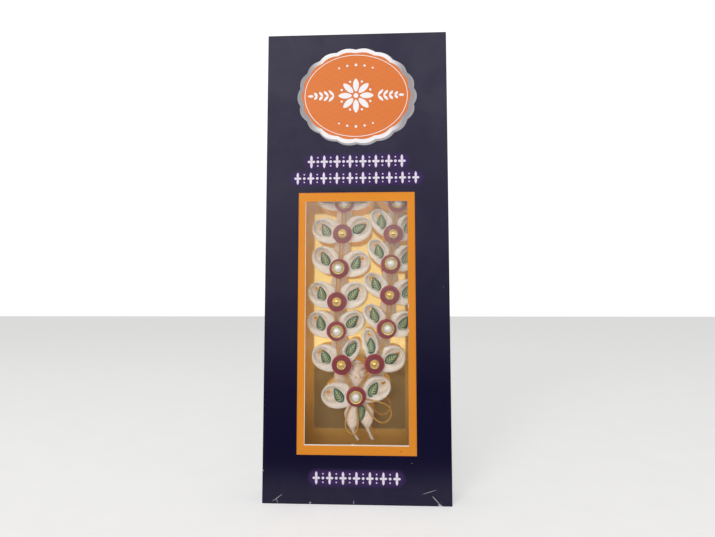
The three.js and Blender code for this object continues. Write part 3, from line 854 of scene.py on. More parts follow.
def buildOrnamentRows():
    bm = newMesh()
    for row in ornamentRows:
        step = 2 * row["half"] / (row["motifs"] - 1)
        tall = row["tall"]
        for i in range(row["motifs"]):
            x = -row["half"] + step * i
            if i % 2 == 0:  # a lozenge of four petals
                for turn, length in ((0, 0.3), (90, 0.5), (180, 0.3), (270, 0.5)):
                    lens(bm, (x, row["z"]), tall * length, tall * 0.2, turn, 12)
            else:
                dot(bm, (x, row["z"]), tall * 0.11, 12)
                for lift in (-1, 1):
                    dot(bm, (x, row["z"] + lift * tall * 0.32), tall * 0.06, 8)
    flatPrint(bm, "ornamentRows", lilacInk)


buildFrameBand()
buildWear()
buildBadge()
buildRosette()
buildOrnamentRows()
print("carton printed")


# Window film and gold card

film = {
    "ripple": 0.05, "thickness": 0.1,
    # milk is the colour of the painted glare on the film
    "clear": paint(0.985, 0.985, 0.98), "glareMilk": paint(0.84, 0.75, 0.71),
    "haze": 0.2, "leastHaze": 0.004,
    "glareStreaks": (190.0, 1.0, 12.0),  # how tightly its faint streaks of painted glare lie on each axis
}


def clearFilm():
    material, tree, shader = newMaterial("clearFilm")
    tree.nodes.remove(shader)
    place = objectPlace(tree)
    x, y, z = parts(tree, place)
    grain = useGroup(tree, grainGroup, Vector=place, Scale=240.0, Broad_Scale=28.0)
    waves = bumped(tree, grain.outputs["Broad"], 0.0004, 0.35)
    clear = put(tree, "ShaderNodeBsdfTransparent", {"Color": film["clear"]}).outputs[0]
    glareMilk = put(tree, "ShaderNodeBsdfDiffuse", {"Color": film["glareMilk"]}).outputs[0]
    gloss = put(tree, "ShaderNodeBsdfGlossy", {
        "Color": paint(1, 1, 1), "Roughness": 0.07, "Normal": waves}).outputs[0]
    # the haze is painted glare: it thickens upwards, and from lower down on the right
    right = product(tree, remap(tree, x, 0.0, 0.3, 0.008, 0.028), remap(tree, z, 0.0, 1.0, 0.08, 0.14))
    rise = sums(tree, "ADD", remap(tree, z, 0.0, 0.85, 0.115, 0.168), right)
    patchy = remap(tree, grain.outputs["Broad"], 0.3, 0.7, 0.3, 0.7)
    glareStreaks = put(tree, "ShaderNodeMapping", {"Vector": place, "Scale": film["glareStreaks"]}).outputs[0]
    streak = put(tree, "ShaderNodeTexNoise", {"Vector": glareStreaks, "Scale": 1.0, "Detail": 2.0})
    lines = product(tree, remap(tree, streak.outputs["Fac"], 0.0, 0.06, 0.58, 0.75), rise)
    haze = sums(tree, "ADD", product(tree, rise, patchy, film["haze"]), lines)
    haze = sums(tree, "ADD", haze, film["leastHaze"], clamp=True)
    veiled = put(tree, "ShaderNodeMixShader", {0: haze, 1: clear, 2: glareMilk}).outputs[0]
    facing = put(tree, "ShaderNodeLayerWeight", {"Blend": 0.5, "Normal": waves}).outputs["Facing"]
    edge = sums(tree, "MULTIPLY_ADD", sums(tree, "POWER", facing, 5.0), 0.8, 0.012)
    surface = put(tree, "ShaderNodeMixShader", {0: edge, 1: veiled, 2: gloss}).outputs[0]
    tree.links.new(surface, tree.nodes["Material Output"].inputs["Surface"])
    return material


def buildFilm():
    low, high = (corner * 1000 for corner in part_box("window_film"))
    bm = newMesh()
    made = bmesh.ops.create_grid(bm, x_segments=26, y_segments=56, size=0.5)
    middle = (low.y + high.y) / 2
    for v in made["verts"]:
        u, t = v.co.x + 0.5, v.co.y + 0.5
        x, z = low.x + (high.x - low.x) * u, low.z + (high.z - low.z) * t
        ripple = film["ripple"] * noise.noise(Vector((x / 17, z / 31, 4)))
        v.co = (x, middle - film["thickness"] / 2 + ripple, z)
    for face in bm.faces:
        face.normal_update()
        if face.normal.y > 0:
            face.normal_flip()
    piece = makePiece(bm, "windowFilm", [clearFilm()], stands=["window_film"],
                      closed=False)
    thick = piece.modifiers.new("thickness", "SOLIDIFY")
    thick.thickness = film["thickness"] * millimetre
    thick.offset = -1


card = {"foil": paint(0.95, 0.64, 0.22), "foilLight": paint(1.0, 0.73, 0.3), "dents": 0.22}


def goldFoil():
    material, tree, shader = newMaterial("goldFoil")
    place = objectPlace(tree)
    grain = useGroup(tree, grainGroup, Vector=place, Scale=700.0, Broad_Scale=18.0)
    colour = blendColour(tree, grain.outputs["Broad"], card["foil"], card["foilLight"])
    rough = remap(tree, grain.outputs["Fine"], 0.06, 0.15)
    height = sums(tree, "MULTIPLY_ADD", grain.outputs["Fine"], 0.01, grain.outputs["Broad"])
    plug(tree, shader, Base_Color=colour, Metallic=0.8, Roughness=rough,
         Normal=bumped(tree, height, 0.0009, card["dents"]))
    return material


buildFilm()
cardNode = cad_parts["gold_card"]
cardNode.data.materials.clear()
cardNode.data.materials.append(goldFoil())
print("window filled")


# Garland: materials

cotton = {
    "petal": (paint(0.93, 0.82, 0.71), paint(0.98, 0.93, 0.87)),  # between the fibres, and on them
    # the plain cotton of the hanging petals, the upper petal and the tails is painted darker and warmer,
    # as warm shade
    "warmShaded": (paint(0.80, 0.60, 0.46), paint(0.93, 0.78, 0.65)),
    # web and hole are painted shade, darker towards the petal's hole
    "fleece": paint(0.96, 0.89, 0.83), "web": paint(0.85, 0.70, 0.56), "hole": paint(0.38, 0.27, 0.17),
    "haze": paint(0.93, 0.82, 0.73),
    "petalHaze": (paint(0.98, 0.9, 0.83), paint(0.94, 0.83, 0.72)),  # at the rim, and at the hole
    "hazeLift": 0.28, "tailHazeLift": 0.18, "outerHaze": 2.1,  # the outer skin lifts so many times more
    "sideFibres": 110, "hangingFibres": 60, "tailFibres": 90, "fibreThickness": 0.035,
}


def cottonWool(name, webbed):  # webbed cotton thins out towards the petal's hole, and is painted darker there as shade
    material, tree, shader = newMaterial(name)
    uv = ownUv(tree)
    fibres = useGroup(tree, fibreGroup, UV=uv, Along=9.0, Across=30.0)
    grain = useGroup(tree, grainGroup, Vector=objectPlace(tree), Scale=1500.0, Broad_Scale=170.0)
    shade, light = cotton["petal" if webbed else "warmShaded"]
    laid = remap(tree, fibres.outputs["Streak"], 0.0, 1.0, 0.3, 0.7)
    colour = blendColour(tree, laid, shade, light)
    colour = blendColour(tree, product(tree, grain.outputs["Broad"], 0.4), colour, cotton["fleece"])
    if webbed:
        inward = parts(tree, uv)["Y"]
        wander = sums(tree, "SUBTRACT", fibres.outputs["Wisp"], 0.5)
        ragged = sums(tree, "MULTIPLY_ADD", wander, 0.1, inward)
        colour = blendColour(tree, remap(tree, ragged, 0.85, 0.0, 0.08, 0.34), colour, cotton["web"])
        # painted shade round the hole
        colour = blendColour(tree, remap(tree, ragged, 0.85, 0.0, 0.01, 0.09), colour, cotton["hole"])
    height = sums(tree, "MULTIPLY_ADD", grain.outputs["Fine"], 0.3, fibres.outputs["Streak"])
    plug(tree, shader, Base_Color=colour, Roughness=0.95, Subsurface_Weight=0.6, Subsurface_Scale=0.003,
         Subsurface_Radius=(1.0, 0.62, 0.42), Sheen_Weight=0.8, Sheen_Roughness=0.6,
         Sheen_Tint=paint(1.0, 0.94, 0.88), Normal=bumped(tree, height, 0.0001, 0.4))
    return material


def cottonHaze(name, webbed):  # the loose outer fibres, thin enough to see through
    material, tree, shader = newMaterial(name)
    uv = ownUv(tree)
    fibres = useGroup(tree, fibreGroup, UV=uv, Along=16.0, Across=120.0)
    facing = put(tree, "ShaderNodeLayerWeight", {"Blend": 0.5}).outputs["Facing"]
    thin = product(tree, remap(tree, fibres.outputs["Streak"], 0.1, 0.48, 0.33, 0.7),
                   remap(tree, facing, 1.0, 0.0, 0.45, 0.97))
    colour = cotton["haze"]
    if webbed:
        # towards the hole the loose fibres are painted darker, as shade
        inside = remap(tree, parts(tree, uv)["Y"], 1.0, 0.0, 0.12, 0.34)
        colour = blendColour(tree, inside, *cotton["petalHaze"])
    plug(tree, shader, Base_Color=colour, Roughness=1.0, Alpha=thin, Sheen_Weight=0.6,
         Specular_IOR_Level=0.1)
    return material


def cottonStrand():
    material, tree, shader = newMaterial("cottonStrand")
    grain = useGroup(tree, grainGroup, Vector=objectPlace(tree), Scale=900.0, Broad_Scale=150.0)
    colour = blendColour(tree, grain.outputs["Broad"], paint(0.82, 0.7, 0.6), paint(0.95, 0.88, 0.82))
    plug(tree, shader, Base_Color=colour, Roughness=0.8, Sheen_Weight=0.3)
    return material


def maroonVelvet():
    material, tree, shader = newMaterial("maroonVelvet")
    reach = parts(tree, ownUv(tree))["Y"]
    grain = useGroup(tree, grainGroup, Vector=objectPlace(tree), Scale=2400.0, Broad_Scale=420.0)
    inner = blendColour(tree, grain.outputs["Broad"], paint(0.16, 0.02, 0.03), paint(0.24, 0.035, 0.05))
    # the disc is painted darker in the middle as shading, and lighter crimson towards the rim as a
    # painted highlight, the velvet's sheen at its edge
    rim = blendColour(tree, grain.outputs["Fine"], paint(0.33, 0.02, 0.04), paint(0.45, 0.05, 0.07))
    colour = blendColour(tree, remap(tree, reach, 0.0, 1.0, 0.82, 1.0), inner, rim)
    plug(tree, shader, Base_Color=colour, Roughness=0.62, Sheen_Weight=0.2, Sheen_Roughness=0.35,
         Sheen_Tint=paint(0.9, 0.35, 0.32), Normal=bumped(tree, grain.outputs["Fine"], 0.00012, 0.6))
    return material


def brightGold(name, first, second, roughness, metallic=1.0, grooves=0):
    material, tree, shader = newMaterial(name)
    grain = useGroup(tree, grainGroup, Vector=objectPlace(tree), Scale=2600.0, Broad_Scale=380.0)
    colour = blendColour(tree, grain.outputs["Broad"], first, second)
    if grooves:
        turn, reach = parts(tree, ownUv(tree))[:2]
        wave = sums(tree, "COSINE", product(tree, turn, 2 * math.pi * grooves))
        onRing = sums(tree, "GREATER_THAN", reach, sizes["cup"]["groovesFrom"] / sizes["disc"]["radius"])
        # painted shade in the grooves between the flutes of the ring
        grooveShade = product(tree, remap(tree, wave, 0.8, 0.0, -1.0, -0.3), onRing)
        colour = blendColour(tree, grooveShade, colour, paint(0.2, 0.08, 0.012))
    rough = remap(tree, grain.outputs["Fine"], roughness * 0.7, roughness * 1.4)
    plug(tree, shader, Base_Color=colour, Metallic=metallic, Roughness=rough,
         Normal=bumped(tree, grain.outputs["Fine"], 0.00003, 0.4))
    return material


def pearlShell():
    material, tree, shader = newMaterial("pearlShell")
    grain = useGroup(tree, grainGroup, Vector=objectPlace(tree), Scale=1500.0, Broad_Scale=300.0)
    colour = blendColour(tree, grain.outputs["Broad"], paint(0.80, 0.77, 0.74), paint(0.90, 0.88, 0.87))
    plug(tree, shader, Base_Color=colour, Roughness=0.2, Metallic=0.25, Coat_Weight=0.6,
         Coat_Roughness=0.05, Normal=bumped(tree, grain.outputs["Fine"], 0.00002, 0.3))
    return material


def emeraldFoil(name, first, second):
    material, tree, shader = newMaterial(name)
    grain = useGroup(tree, grainGroup, Vector=objectPlace(tree), Scale=1400.0, Broad_Scale=330.0)
    glitter = put(tree, "ShaderNodeTexVoronoi", {"Vector": objectPlace(tree), "Scale": 3200.0})
    sparkle = put(tree, "ShaderNodeSeparateColor", {"Color": glitter.outputs["Color"]}).outputs[0]
    share = product(tree, grain.outputs["Broad"], remap(tree, sparkle, 0.3, 1.0))
    colour = blendColour(tree, share, first, second)
    plug(tree, shader, Base_Color=colour, Metallic=0.25, Roughness=remap(tree, sparkle, 0.3, 0.55),
         Specular_IOR_Level=0.35, Coat_Weight=0.12, Coat_Roughness=0.12,
         Normal=bumped(tree, sparkle, 0.00005, 0.5))
    return material


def zariGold():
    material, tree, shader = newMaterial("zariGold")
    grain = useGroup(tree, grainGroup, Vector=objectPlace(tree), Scale=2600.0, Broad_Scale=500.0)
    colour = blendColour(tree, grain.outputs["Broad"], paint(0.5, 0.24, 0.05), paint(0.82, 0.5, 0.16))
    plug(tree, shader, Base_Color=colour, Metallic=0.65, Roughness=0.38,
         Normal=bumped(tree, grain.outputs["Fine"], 0.00005, 0.7))
    return material


# the first is the plain cotton, painted darker and warmer as warm shade
shadedWool, petalWool = cottonWool("cottonWool", False), cottonWool("petalWool", True)
wispy, petalWispy = cottonHaze("cottonHaze", False), cottonHaze("petalHaze", True)
strandWhite = cottonStrand()
velvet, pearlWhite = maroonVelvet(), pearlShell()
leafGreen = emeraldFoil("leafGreen", paint(0.003, 0.05, 0.034), paint(0.01, 0.21, 0.135))
leafDark = emeraldFoil("leafDark", paint(0.004, 0.035, 0.025), paint(0.008, 0.08, 0.055))
zari = zariGold()


# Garland: places, the same as the solids'

sizes = {
    "side": {"length": 17.4, "width": 13.8, "leaf": 112},
    "hanging": {"length": 16.4, "width": 9.2, "thickness": 4.8, "lean": 26},
    "disc": {"radius": 5.4, "front": 3.9, "thickness": 1.7},
    "pearl": 2.45, "pearlDepth": 2.15,  # radius, and how far its front stands out of the disc's
    "cup": {"ridges": 20, "pearlRim": 3.75, "pearlHole": 2.6, "goldRim": 2.75, "goldHole": 1.5,
            "fluteOut": 0.14, "fluteDeep": 0.22, "groovesFrom": 1.65},
    "petalFront": 7.5, "petalRoot": -2.6, "rootOverlap": 1.5,
    "leaf": {"length": 8.8, "width": 5.3, "reach": 9.9, "thickness": 0.5, "dome": 0.55,
             "groove": 0.16, "grooveWidth": 0.35, "midrib": 0.15, "vein": 0.2, "veinPairs": 5,
             "sounding": 3, "depths": (7.0, 8.3, 8.9)},  # least, most at the root, most at the tip
    "hole": {"fromTip": 3.5, "radius": 1.25, "lift": 0.1},
    "thread": 1.0, "threadDepth": 6.4, "threadSpread": 0.85, "cardFace": 6.5, "cardThickness": 0.5,
    "threadHoleHeight": 236.0,
}
cupGold = brightGold("cupGold", paint(1.0, 0.72, 0.25), paint(1.0, 0.86, 0.48), 0.22,
                     grooves=sizes["cup"]["ridges"])
veinGold = brightGold("veinGold", paint(1.0, 0.76, 0.3), paint(1.0, 0.9, 0.52), 0.5, metallic=0.0)
strands = {
    "left": {"endX": -2.8, "flowers": [
        {"at": (-6.3, 213.6), "petals": [{"turn": 158}, {"turn": 24, "leaf": 58}]},
        {"at": (-6.0, 196.2), "petals": [{"turn": 152}, {"turn": 27, "leaf": 62}]},
        {"at": (-6.3, 178.6), "petals": [{"turn": 160}, {"turn": 22, "leaf": 52}]},
        {"at": (-7.0, 161.0), "petals": [{"turn": 154}, {"turn": 27, "leaf": 56}]},
        {"at": (-8.0, 143.6), "petals": [
            {"turn": 165, "leaf": 117}, {"turn": 21, "leaf": 30, "length": 16.8}]},
        {"at": (-9.8, 124.3), "petals": [{"turn": 145, "leaf": 113}, {"turn": 19, "leaf": 68}]},
        {"at": (-11.0, 106.0), "petals": [{"turn": 153, "leaf": 102}, {"turn": 25, "leaf": 52}]},
        {"at": (-11.2, 90.0), "petals": [
            {"turn": 155, "leaf": 101}, {"turn": 30, "leaf": 50, "length": 16.6, "width": 12.4}]},
        {"at": (-8.4, 71.8), "hang": -92, "petals": [
            {"turn": 157, "leaf": 115}, {"turn": 57, "leaf": 58, "length": 16, "width": 8.6}]},
    ]},
    "right": {"endX": 1.1, "flowers": [
        {"at": (25.2, 213.6), "petals": [{"turn": 137, "width": 10.4}, {"turn": 24, "leaf": 62}]},
        {"at": (24.9, 196.2), "petals": [{"turn": 133, "width": 10.4}, {"turn": 20, "leaf": 60}]},
        {"at": (23.9, 178.6), "petals": [{"turn": 135, "width": 10.6}, {"turn": 25, "leaf": 66}]},
        {"at": (22.5, 160.8), "petals": [{"turn": 131, "width": 10.8}, {"turn": 28, "leaf": 66}]},
        {"at": (20.1, 143.3), "petals": [
            {"turn": 131, "leaf": 93, "width": 10.8}, {"turn": 27, "leaf": 74, "width": 13.2}]},
        {"at": (18.6, 126.6), "petals": [
            {"turn": 131, "leaf": 101, "width": 10.6}, {"turn": 24, "leaf": 68, "width": 13.4}]},
        {"at": (18.0, 109.6), "petals": [
            {"turn": 141, "leaf": 111, "width": 11}, {"turn": 12, "leaf": 70}]},
        {"at": (16.2, 91.3), "petals": [
            {"turn": 133, "leaf": 103, "length": 17, "width": 10.2}, {"turn": 17, "leaf": 60}]},
        {"at": (9.6, 72.3), "hang": -86, "petals": [
            {"turn": 102, "leaf": 91, "length": 19.6, "width": 8.4}, {"turn": 17, "leaf": 34}]},
    ]},
}
pendant = {
    "at": (-0.4, 54.9),
    "petals": [
        {"turn": 179, "leaf": 122, "length": 19},
        {"turn": 20, "leaf": 60, "length": 19.6, "width": 12.8}],
    "upper": {"turn": 91, "length": 21, "width": 10.2, "thickness": 4.4, "lean": 4},
    "tails": [
        {"belly": (-2.9, 45), "neck": (-2.4, 35.8), "end": (0.6, 30.4), "width": 8.4},
        {"belly": (4.4, 46), "neck": (5.6, 37.2), "end": (8.6, 30.4), "width": 8.8},
    ],
    "tailLeaf": {"at": (2.1, 45.7), "turn": 268, "deep": 8.05},
    "tailRadius": 0.8,
    "flecks": {"count": 36, "seed": 500, "lift": 0.62, "size": 0.21},
}
loops = {  # thread loops that hang free at the pendant, as x, depth behind the front, z
    "left": [
        (-2.9, 6.4, 50.2), (-3.9, 6.4, 48.8), (-5.2, 6.3, 46.4), (-6.0, 6.2, 43.6), (-6.3, 6.2, 40.8),
        (-6.0, 6.2, 38.0), (-4.7, 6.2, 35.8), (-2.7, 6.2, 34.8), (-0.8, 6.2, 35.8), (0.3, 6.2, 38.0),
        (0.6, 6.2, 40.8), (0.4, 6.2, 43.8), (0.1, 6.3, 46.6), (0.0, 6.4, 49.2)],
    "right": [
        (4.7, 6.6, 53.4), (6.6, 6.5, 52.9), (9.0, 6.2, 52.5), (11.6, 6.0, 52.0), (14.2, 6.0, 51.2),
        (16.5, 6.2, 50.0), (18.0, 6.6, 48.2), (18.5, 7.0, 45.8), (17.9, 7.4, 43.4), (16.2, 7.6, 41.4),
        (13.9, 7.6, 40.6), (11.6, 7.4, 41.2), (9.4, 7.2, 43.0), (7.3, 6.9, 45.4), (5.4, 6.7, 48.0),
        (3.6, 6.6, 50.8)],
}


# Garland: threads

def frameAlong(curve):  # two directions across the curve at each point, carried along without twisting
    frames = []
    side = None
    for i in range(len(curve)):
        ahead, behind = curve[min(i + 1, len(curve) - 1)], curve[max(i - 1, 0)]
        tangent = (ahead - behind).normalized()
        if side is None:
            side = tangent.orthogonal().normalized()
        side = (side - tangent * side.dot(tangent)).normalized()
        frames.append((side, tangent.cross(side)))
    return frames


def evenly(curve, spacing):
    lengths = [0.0]
    for a, b in zip(curve, curve[1:]):
        lengths.append(lengths[-1] + (b - a).length)
    count = max(2, round(lengths[-1] / spacing))
    points, k = [], 0
    for i in range(count + 1):
        target = lengths[-1] * i / count
        while k < len(curve) - 2 and lengths[k + 1] < target:
            k += 1
        span = max(lengths[k + 1] - lengths[k], 1e-9)
        points.append(curve[k].lerp(curve[k + 1], min(max((target - lengths[k]) / span, 0), 1)))
    return points, lengths[-1]


twist = {"plies": 2, "pitch": 2.4, "plyShare": 0.29, "spacing": 0.32, "sides": 6}


def twistedThread(bm, points, diameter, pitch=twist["pitch"]):
    curve, total = evenly(throughPoints(points, 8), twist["spacing"])
    frames = frameAlong(curve)
    plyRadius = diameter * twist["plyShare"]
    offset = diameter / 2 - plyRadius
    last = len(curve) - 1
    plies = twist["plies"]
    for ply in range(plies):
        def place(u, v):
            station = min(round(v * last), last)
            side, lift = frames[station]
            turn = 2 * math.pi * (station / last * total / pitch + ply / plies)
            middle = curve[station] + (side * math.cos(turn) + lift * math.sin(turn)) * offset
            end = 0 if station in (0, last) else 1
            angle = 2 * math.pi * u
            return middle + (side * math.cos(angle) + lift * math.sin(angle)) * plyRadius * end
        skin(bm, twist["sides"], last, place)
    return curve


def buildLoops():
    for name, route in loops.items():
        points = [(x, front + deep, z) for x, deep, z in route]
        bm = newMesh()
        curve = twistedThread(bm, points, sizes["thread"])
        piece = makePiece(bm, f"pendantLoop{name.title()}", [zari],
                          stands=[f"pendant_loop_{name}"])
        path = [p * millimetre for p in curve]
        length = sum((b - a).length for a, b in zip(path, path[1:]))
        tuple(path[0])
        print(name, "loop is", round(length * 1000, 1), "mm long")


def buildStrandThreads(name, strand):
    topX, topZ = strand["flowers"][0]["at"]
    y, hole = front + sizes["threadDepth"], sizes["threadHoleHeight"]
    behind = sizes["cardFace"] + sizes["cardThickness"]
    bm = newMesh()
    for side in (-1, 1):
        offset = side * sizes["threadSpread"]
        points = [(topX + side * 0.62, behind + 1.4, hole),
                  (topX + side * 0.66, sizes["cardFace"] - 1.2, hole - 0.4),
                  (topX + side * 0.75, y + 3, hole - 8), (topX + offset, y, topZ + 7)]
        points += [(f["at"][0] + offset, y, f["at"][1]) for f in strand["flowers"]]
        points.append((strand["endX"] + offset, y, pendant["at"][1] + 4.3))
        twistedThread(bm, points, sizes["thread"], pitch=2.6 + 0.3 * side)
    knot = []
    for i in range(25):  # an overhand knot behind the card
        a = 2 * math.pi * i / 24
        x = topX + 0.75 * (math.sin(a) + 0.9 * math.sin(2 * a))
        z = hole + 0.6 * (math.cos(a) - 0.9 * math.cos(2 * a))
        knot.append((x, behind + 1.5 + 0.35 * math.sin(3 * a), z))
    twistedThread(bm, knot, sizes["thread"] * 0.8)
    makePiece(bm, f"strandThreads{name.title()}", [zari],
              stands=[f"strand_threads_{name}"])


buildLoops()
for strandName, strandPlan in strands.items():
    buildStrandThreads(strandName, strandPlan)
print("threads strung")


# Garland: petals

petalSlots = {  # places in a petal piece's list of materials
    "warmShaded": 0, "strand": 2, "leaf": 3, "leafRim": 4, "vein": 5, "petal": 6, "zari": 8, "velvet": 9}
petalSection = [  # share of the way from the hole to the rim, depth there, and depth at the root
    (0, 1.7, 0), (0.36, 1.5, 0), (0.54, -0.3, 0), (0.74, -1.75, 0), (0.94, -1.0, 0.3), (1, 1.2, 1.3),
    (0.76, 4.2, 2.6), (0, 3.2, 2.6)]
sectionCurve = [(max(p.x, 0), p.y, p.z) for p in throughPoints(petalSection, 4, closed=True)]
rollOver = 0.5


def fullness(angle):  # how wide a petal is along its outline
    return math.sin(angle) * max(math.sin(angle / 2), 0) ** 0.5 / 0.861  # about 1 where it is widest


def petalPlace(at, turn):
    c, s = math.cos(math.radians(turn)), math.sin(math.radians(turn))
    return lambda along, across, deep: Vector(
        (at[0] + along * c - across * s, front + deep, at[1] + along * s + across * c))


def unevenness(angle, v, seed, around, along):  # of the cotton, round a petal and along it
    point = Vector((math.cos(angle) * around, math.sin(angle) * around + seed, v * along))
    return noise.fractal(point, 0.8, 2.2, 3)


def loopPetalSurface(at, petal, seed):
    length, width = petal["length"], petal["width"]
    place = petalPlace(at, petal["turn"])
    upper = 1 if math.cos(math.radians(petal["turn"])) >= 0 else -1
    holeAlong, holeAcross = length - sizes["hole"]["fromTip"], upper * width * sizes["hole"]["lift"]
    root = sizes["petalRoot"]
    count = len(sectionCurve)

    def surface(u, v, lift=0.0):
        angle = 2 * math.pi * u
        reach, deep, rootDeep = sectionCurve[round(v * count) % count]
        rough = unevenness(angle, v, seed, 2.4, 6)
        hole = sizes["hole"]["radius"] * (1 + 0.22 * math.sin(2 * angle + seed)) - 0.5 * lift
        lip = (holeAlong - hole * math.cos(angle), holeAcross + hole * math.sin(angle))
        rim = (root + (length - root) * (1 - math.cos(angle)) / 2,
               width / 2 * math.copysign(abs(fullness(angle)), math.sin(angle)))
        along = lip[0] + (rim[0] - lip[0]) * reach
        across = lip[1] + (rim[1] - lip[1]) * reach
        rise = ease(along / length, 0.29, 0.56)
        rolled = deep - rollOver if deep < 0 and across * upper > 0 else deep
        depth = sizes["petalFront"] + rootDeep + (rolled - rootDeep) * rise
        outward = lift * reach * 0.8 + rough * 0.24 * max(reach - 0.3, 0)
        span = math.hypot(rim[0] - lip[0], rim[1] - lip[1]) or 1
        along += outward * (rim[0] - lip[0]) / span
        across += outward * (rim[1] - lip[1]) / span
        depth += (1 if deep > 2 else -1) * (lift * 0.7 + rough * 0.14 * rise)
        return place(along, across, depth)
    return surface


def plainPetalSurface(at, turn, petal, seed):
    c, s = math.cos(math.radians(turn)), math.sin(math.radians(turn))
    outline = throughPoints([(0, 0, 0), (0.26, 0.1, 0), (0.42, 0.36, 0), (0.5, 0.66, 0), (0.36, 0.9, 0),
                             (0, 1, 0)], 5)
    last = len(outline) - 1
    lean = math.radians(petal["lean"])
    middle = Vector((at[0], front + sizes["petalFront"] + 2.2, at[1]))

    def surface(u, v, lift=0.0):
        angle = 2 * math.pi * u
        radius, t, flat = outline[round(v * last)]
        rough = unevenness(angle, v, seed, 1.6, 3)
        grow = 1 + 0.09 * rough if radius > 0.02 else 1
        across = radius * petal["width"] * grow * math.cos(angle)
        forward = radius * petal["thickness"] * grow * math.sin(angle)
        if radius > 0.02:
            across += lift * math.cos(angle)
            forward += lift * math.sin(angle)
        along = t * petal["length"]
        alongFlat = along * math.cos(lean) + forward * math.sin(lean)
        forward = forward * math.cos(lean) - along * math.sin(lean)
        return middle + Vector((across * s + alongFlat * c, -forward, -across * c + alongFlat * s))
    return surface


def tailSurface(tail, seed):
    x, z = pendant["at"]
    belly, neck, end = (Vector(tail[key]) for key in ("belly", "neck", "end"))
    start, width = Vector((x, z)), tail["width"]
    stops = [(start + Vector((0, -1)), 1.4), (start.lerp(belly, 0.5), width * 0.4), (belly, width / 2),
             (belly.lerp(neck, 0.6), width * 0.34), (neck, pendant["tailRadius"]),
             (end, pendant["tailRadius"] * 0.75)]
    curve = throughPoints([(p.x, p.y, r) for p, r in stops], 8)
    last = len(curve) - 1
    deep = sizes["petalFront"] + 2.4

    def surface(u, v, lift=0.0):
        station = round(v * last)
        cx, cz, radius = curve[station]
        twist = 2 * math.pi * 1.6 * ease(v, 0.62, 1.0)
        angle = 2 * math.pi * u
        rough = unevenness(angle, v, seed, 1.5, 5)
        grow = 0 if station in (0, last) else 1 + 0.1 * rough
        rope = 1 + 0.18 * math.cos(2 * (angle + twist)) * ease(v, 0.7, 0.8)
        size = max(radius, 0.3) * grow * rope + lift * (1 if grow else 0)
        depth = front + deep + min(size, 2.2 + lift) * math.sin(angle)
        return Vector((cx + size * math.cos(angle), depth, cz))
    return surface


def strandThrough(bm, spine, size, swelling, sides, slotIndex):  # a short strand along four points
    frames = frameAlong(spine)

    def place(a, b):
        station = min(round(b * 3), 3)
        side, lift = frames[station]
        angle = 2 * math.pi * a
        out = side * math.cos(angle) + lift * math.sin(angle)
        return spine[station] + out * (size * swelling[station])
    skin(bm, sides, 3, place, slotIndex)


def fibreOn(bm, surface, chance):  # one loose fibre that leaves the surface
    u, v = chance.random(), chance.random()
    du = chance.uniform(0.03, 0.1) * chance.choice((-1, 1))
    dv = chance.uniform(-0.05, 0.05)
    flare = chance.uniform(0.15, 0.9)
    spine = []
    for k in range(4):
        share = k / 3
        rise = 0.05 + flare * share ** 2
        spine.append(surface((u + du * share) % 1, min(max(v + dv * share, 0.02), 0.98), rise))
    strandThrough(bm, spine, cotton["fibreThickness"], (0, 1, 0.8, 0), 3, petalSlots["strand"])


def addPetal(bm, surface, around, along, fibres, chance, hazeLift=cotton["hazeLift"], slot="warmShaded"):
    slotIndex = petalSlots[slot]
    skin(bm, around, along, surface, slotIndex)
    for lift in (hazeLift, hazeLift * cotton["outerHaze"]):  # two see-through skins of loose fibres
        skin(bm, around, along, lambda u, v: surface(u, v, lift), slotIndex + 1)
    for i in range(fibres):
        fibreOn(bm, surface, chance)


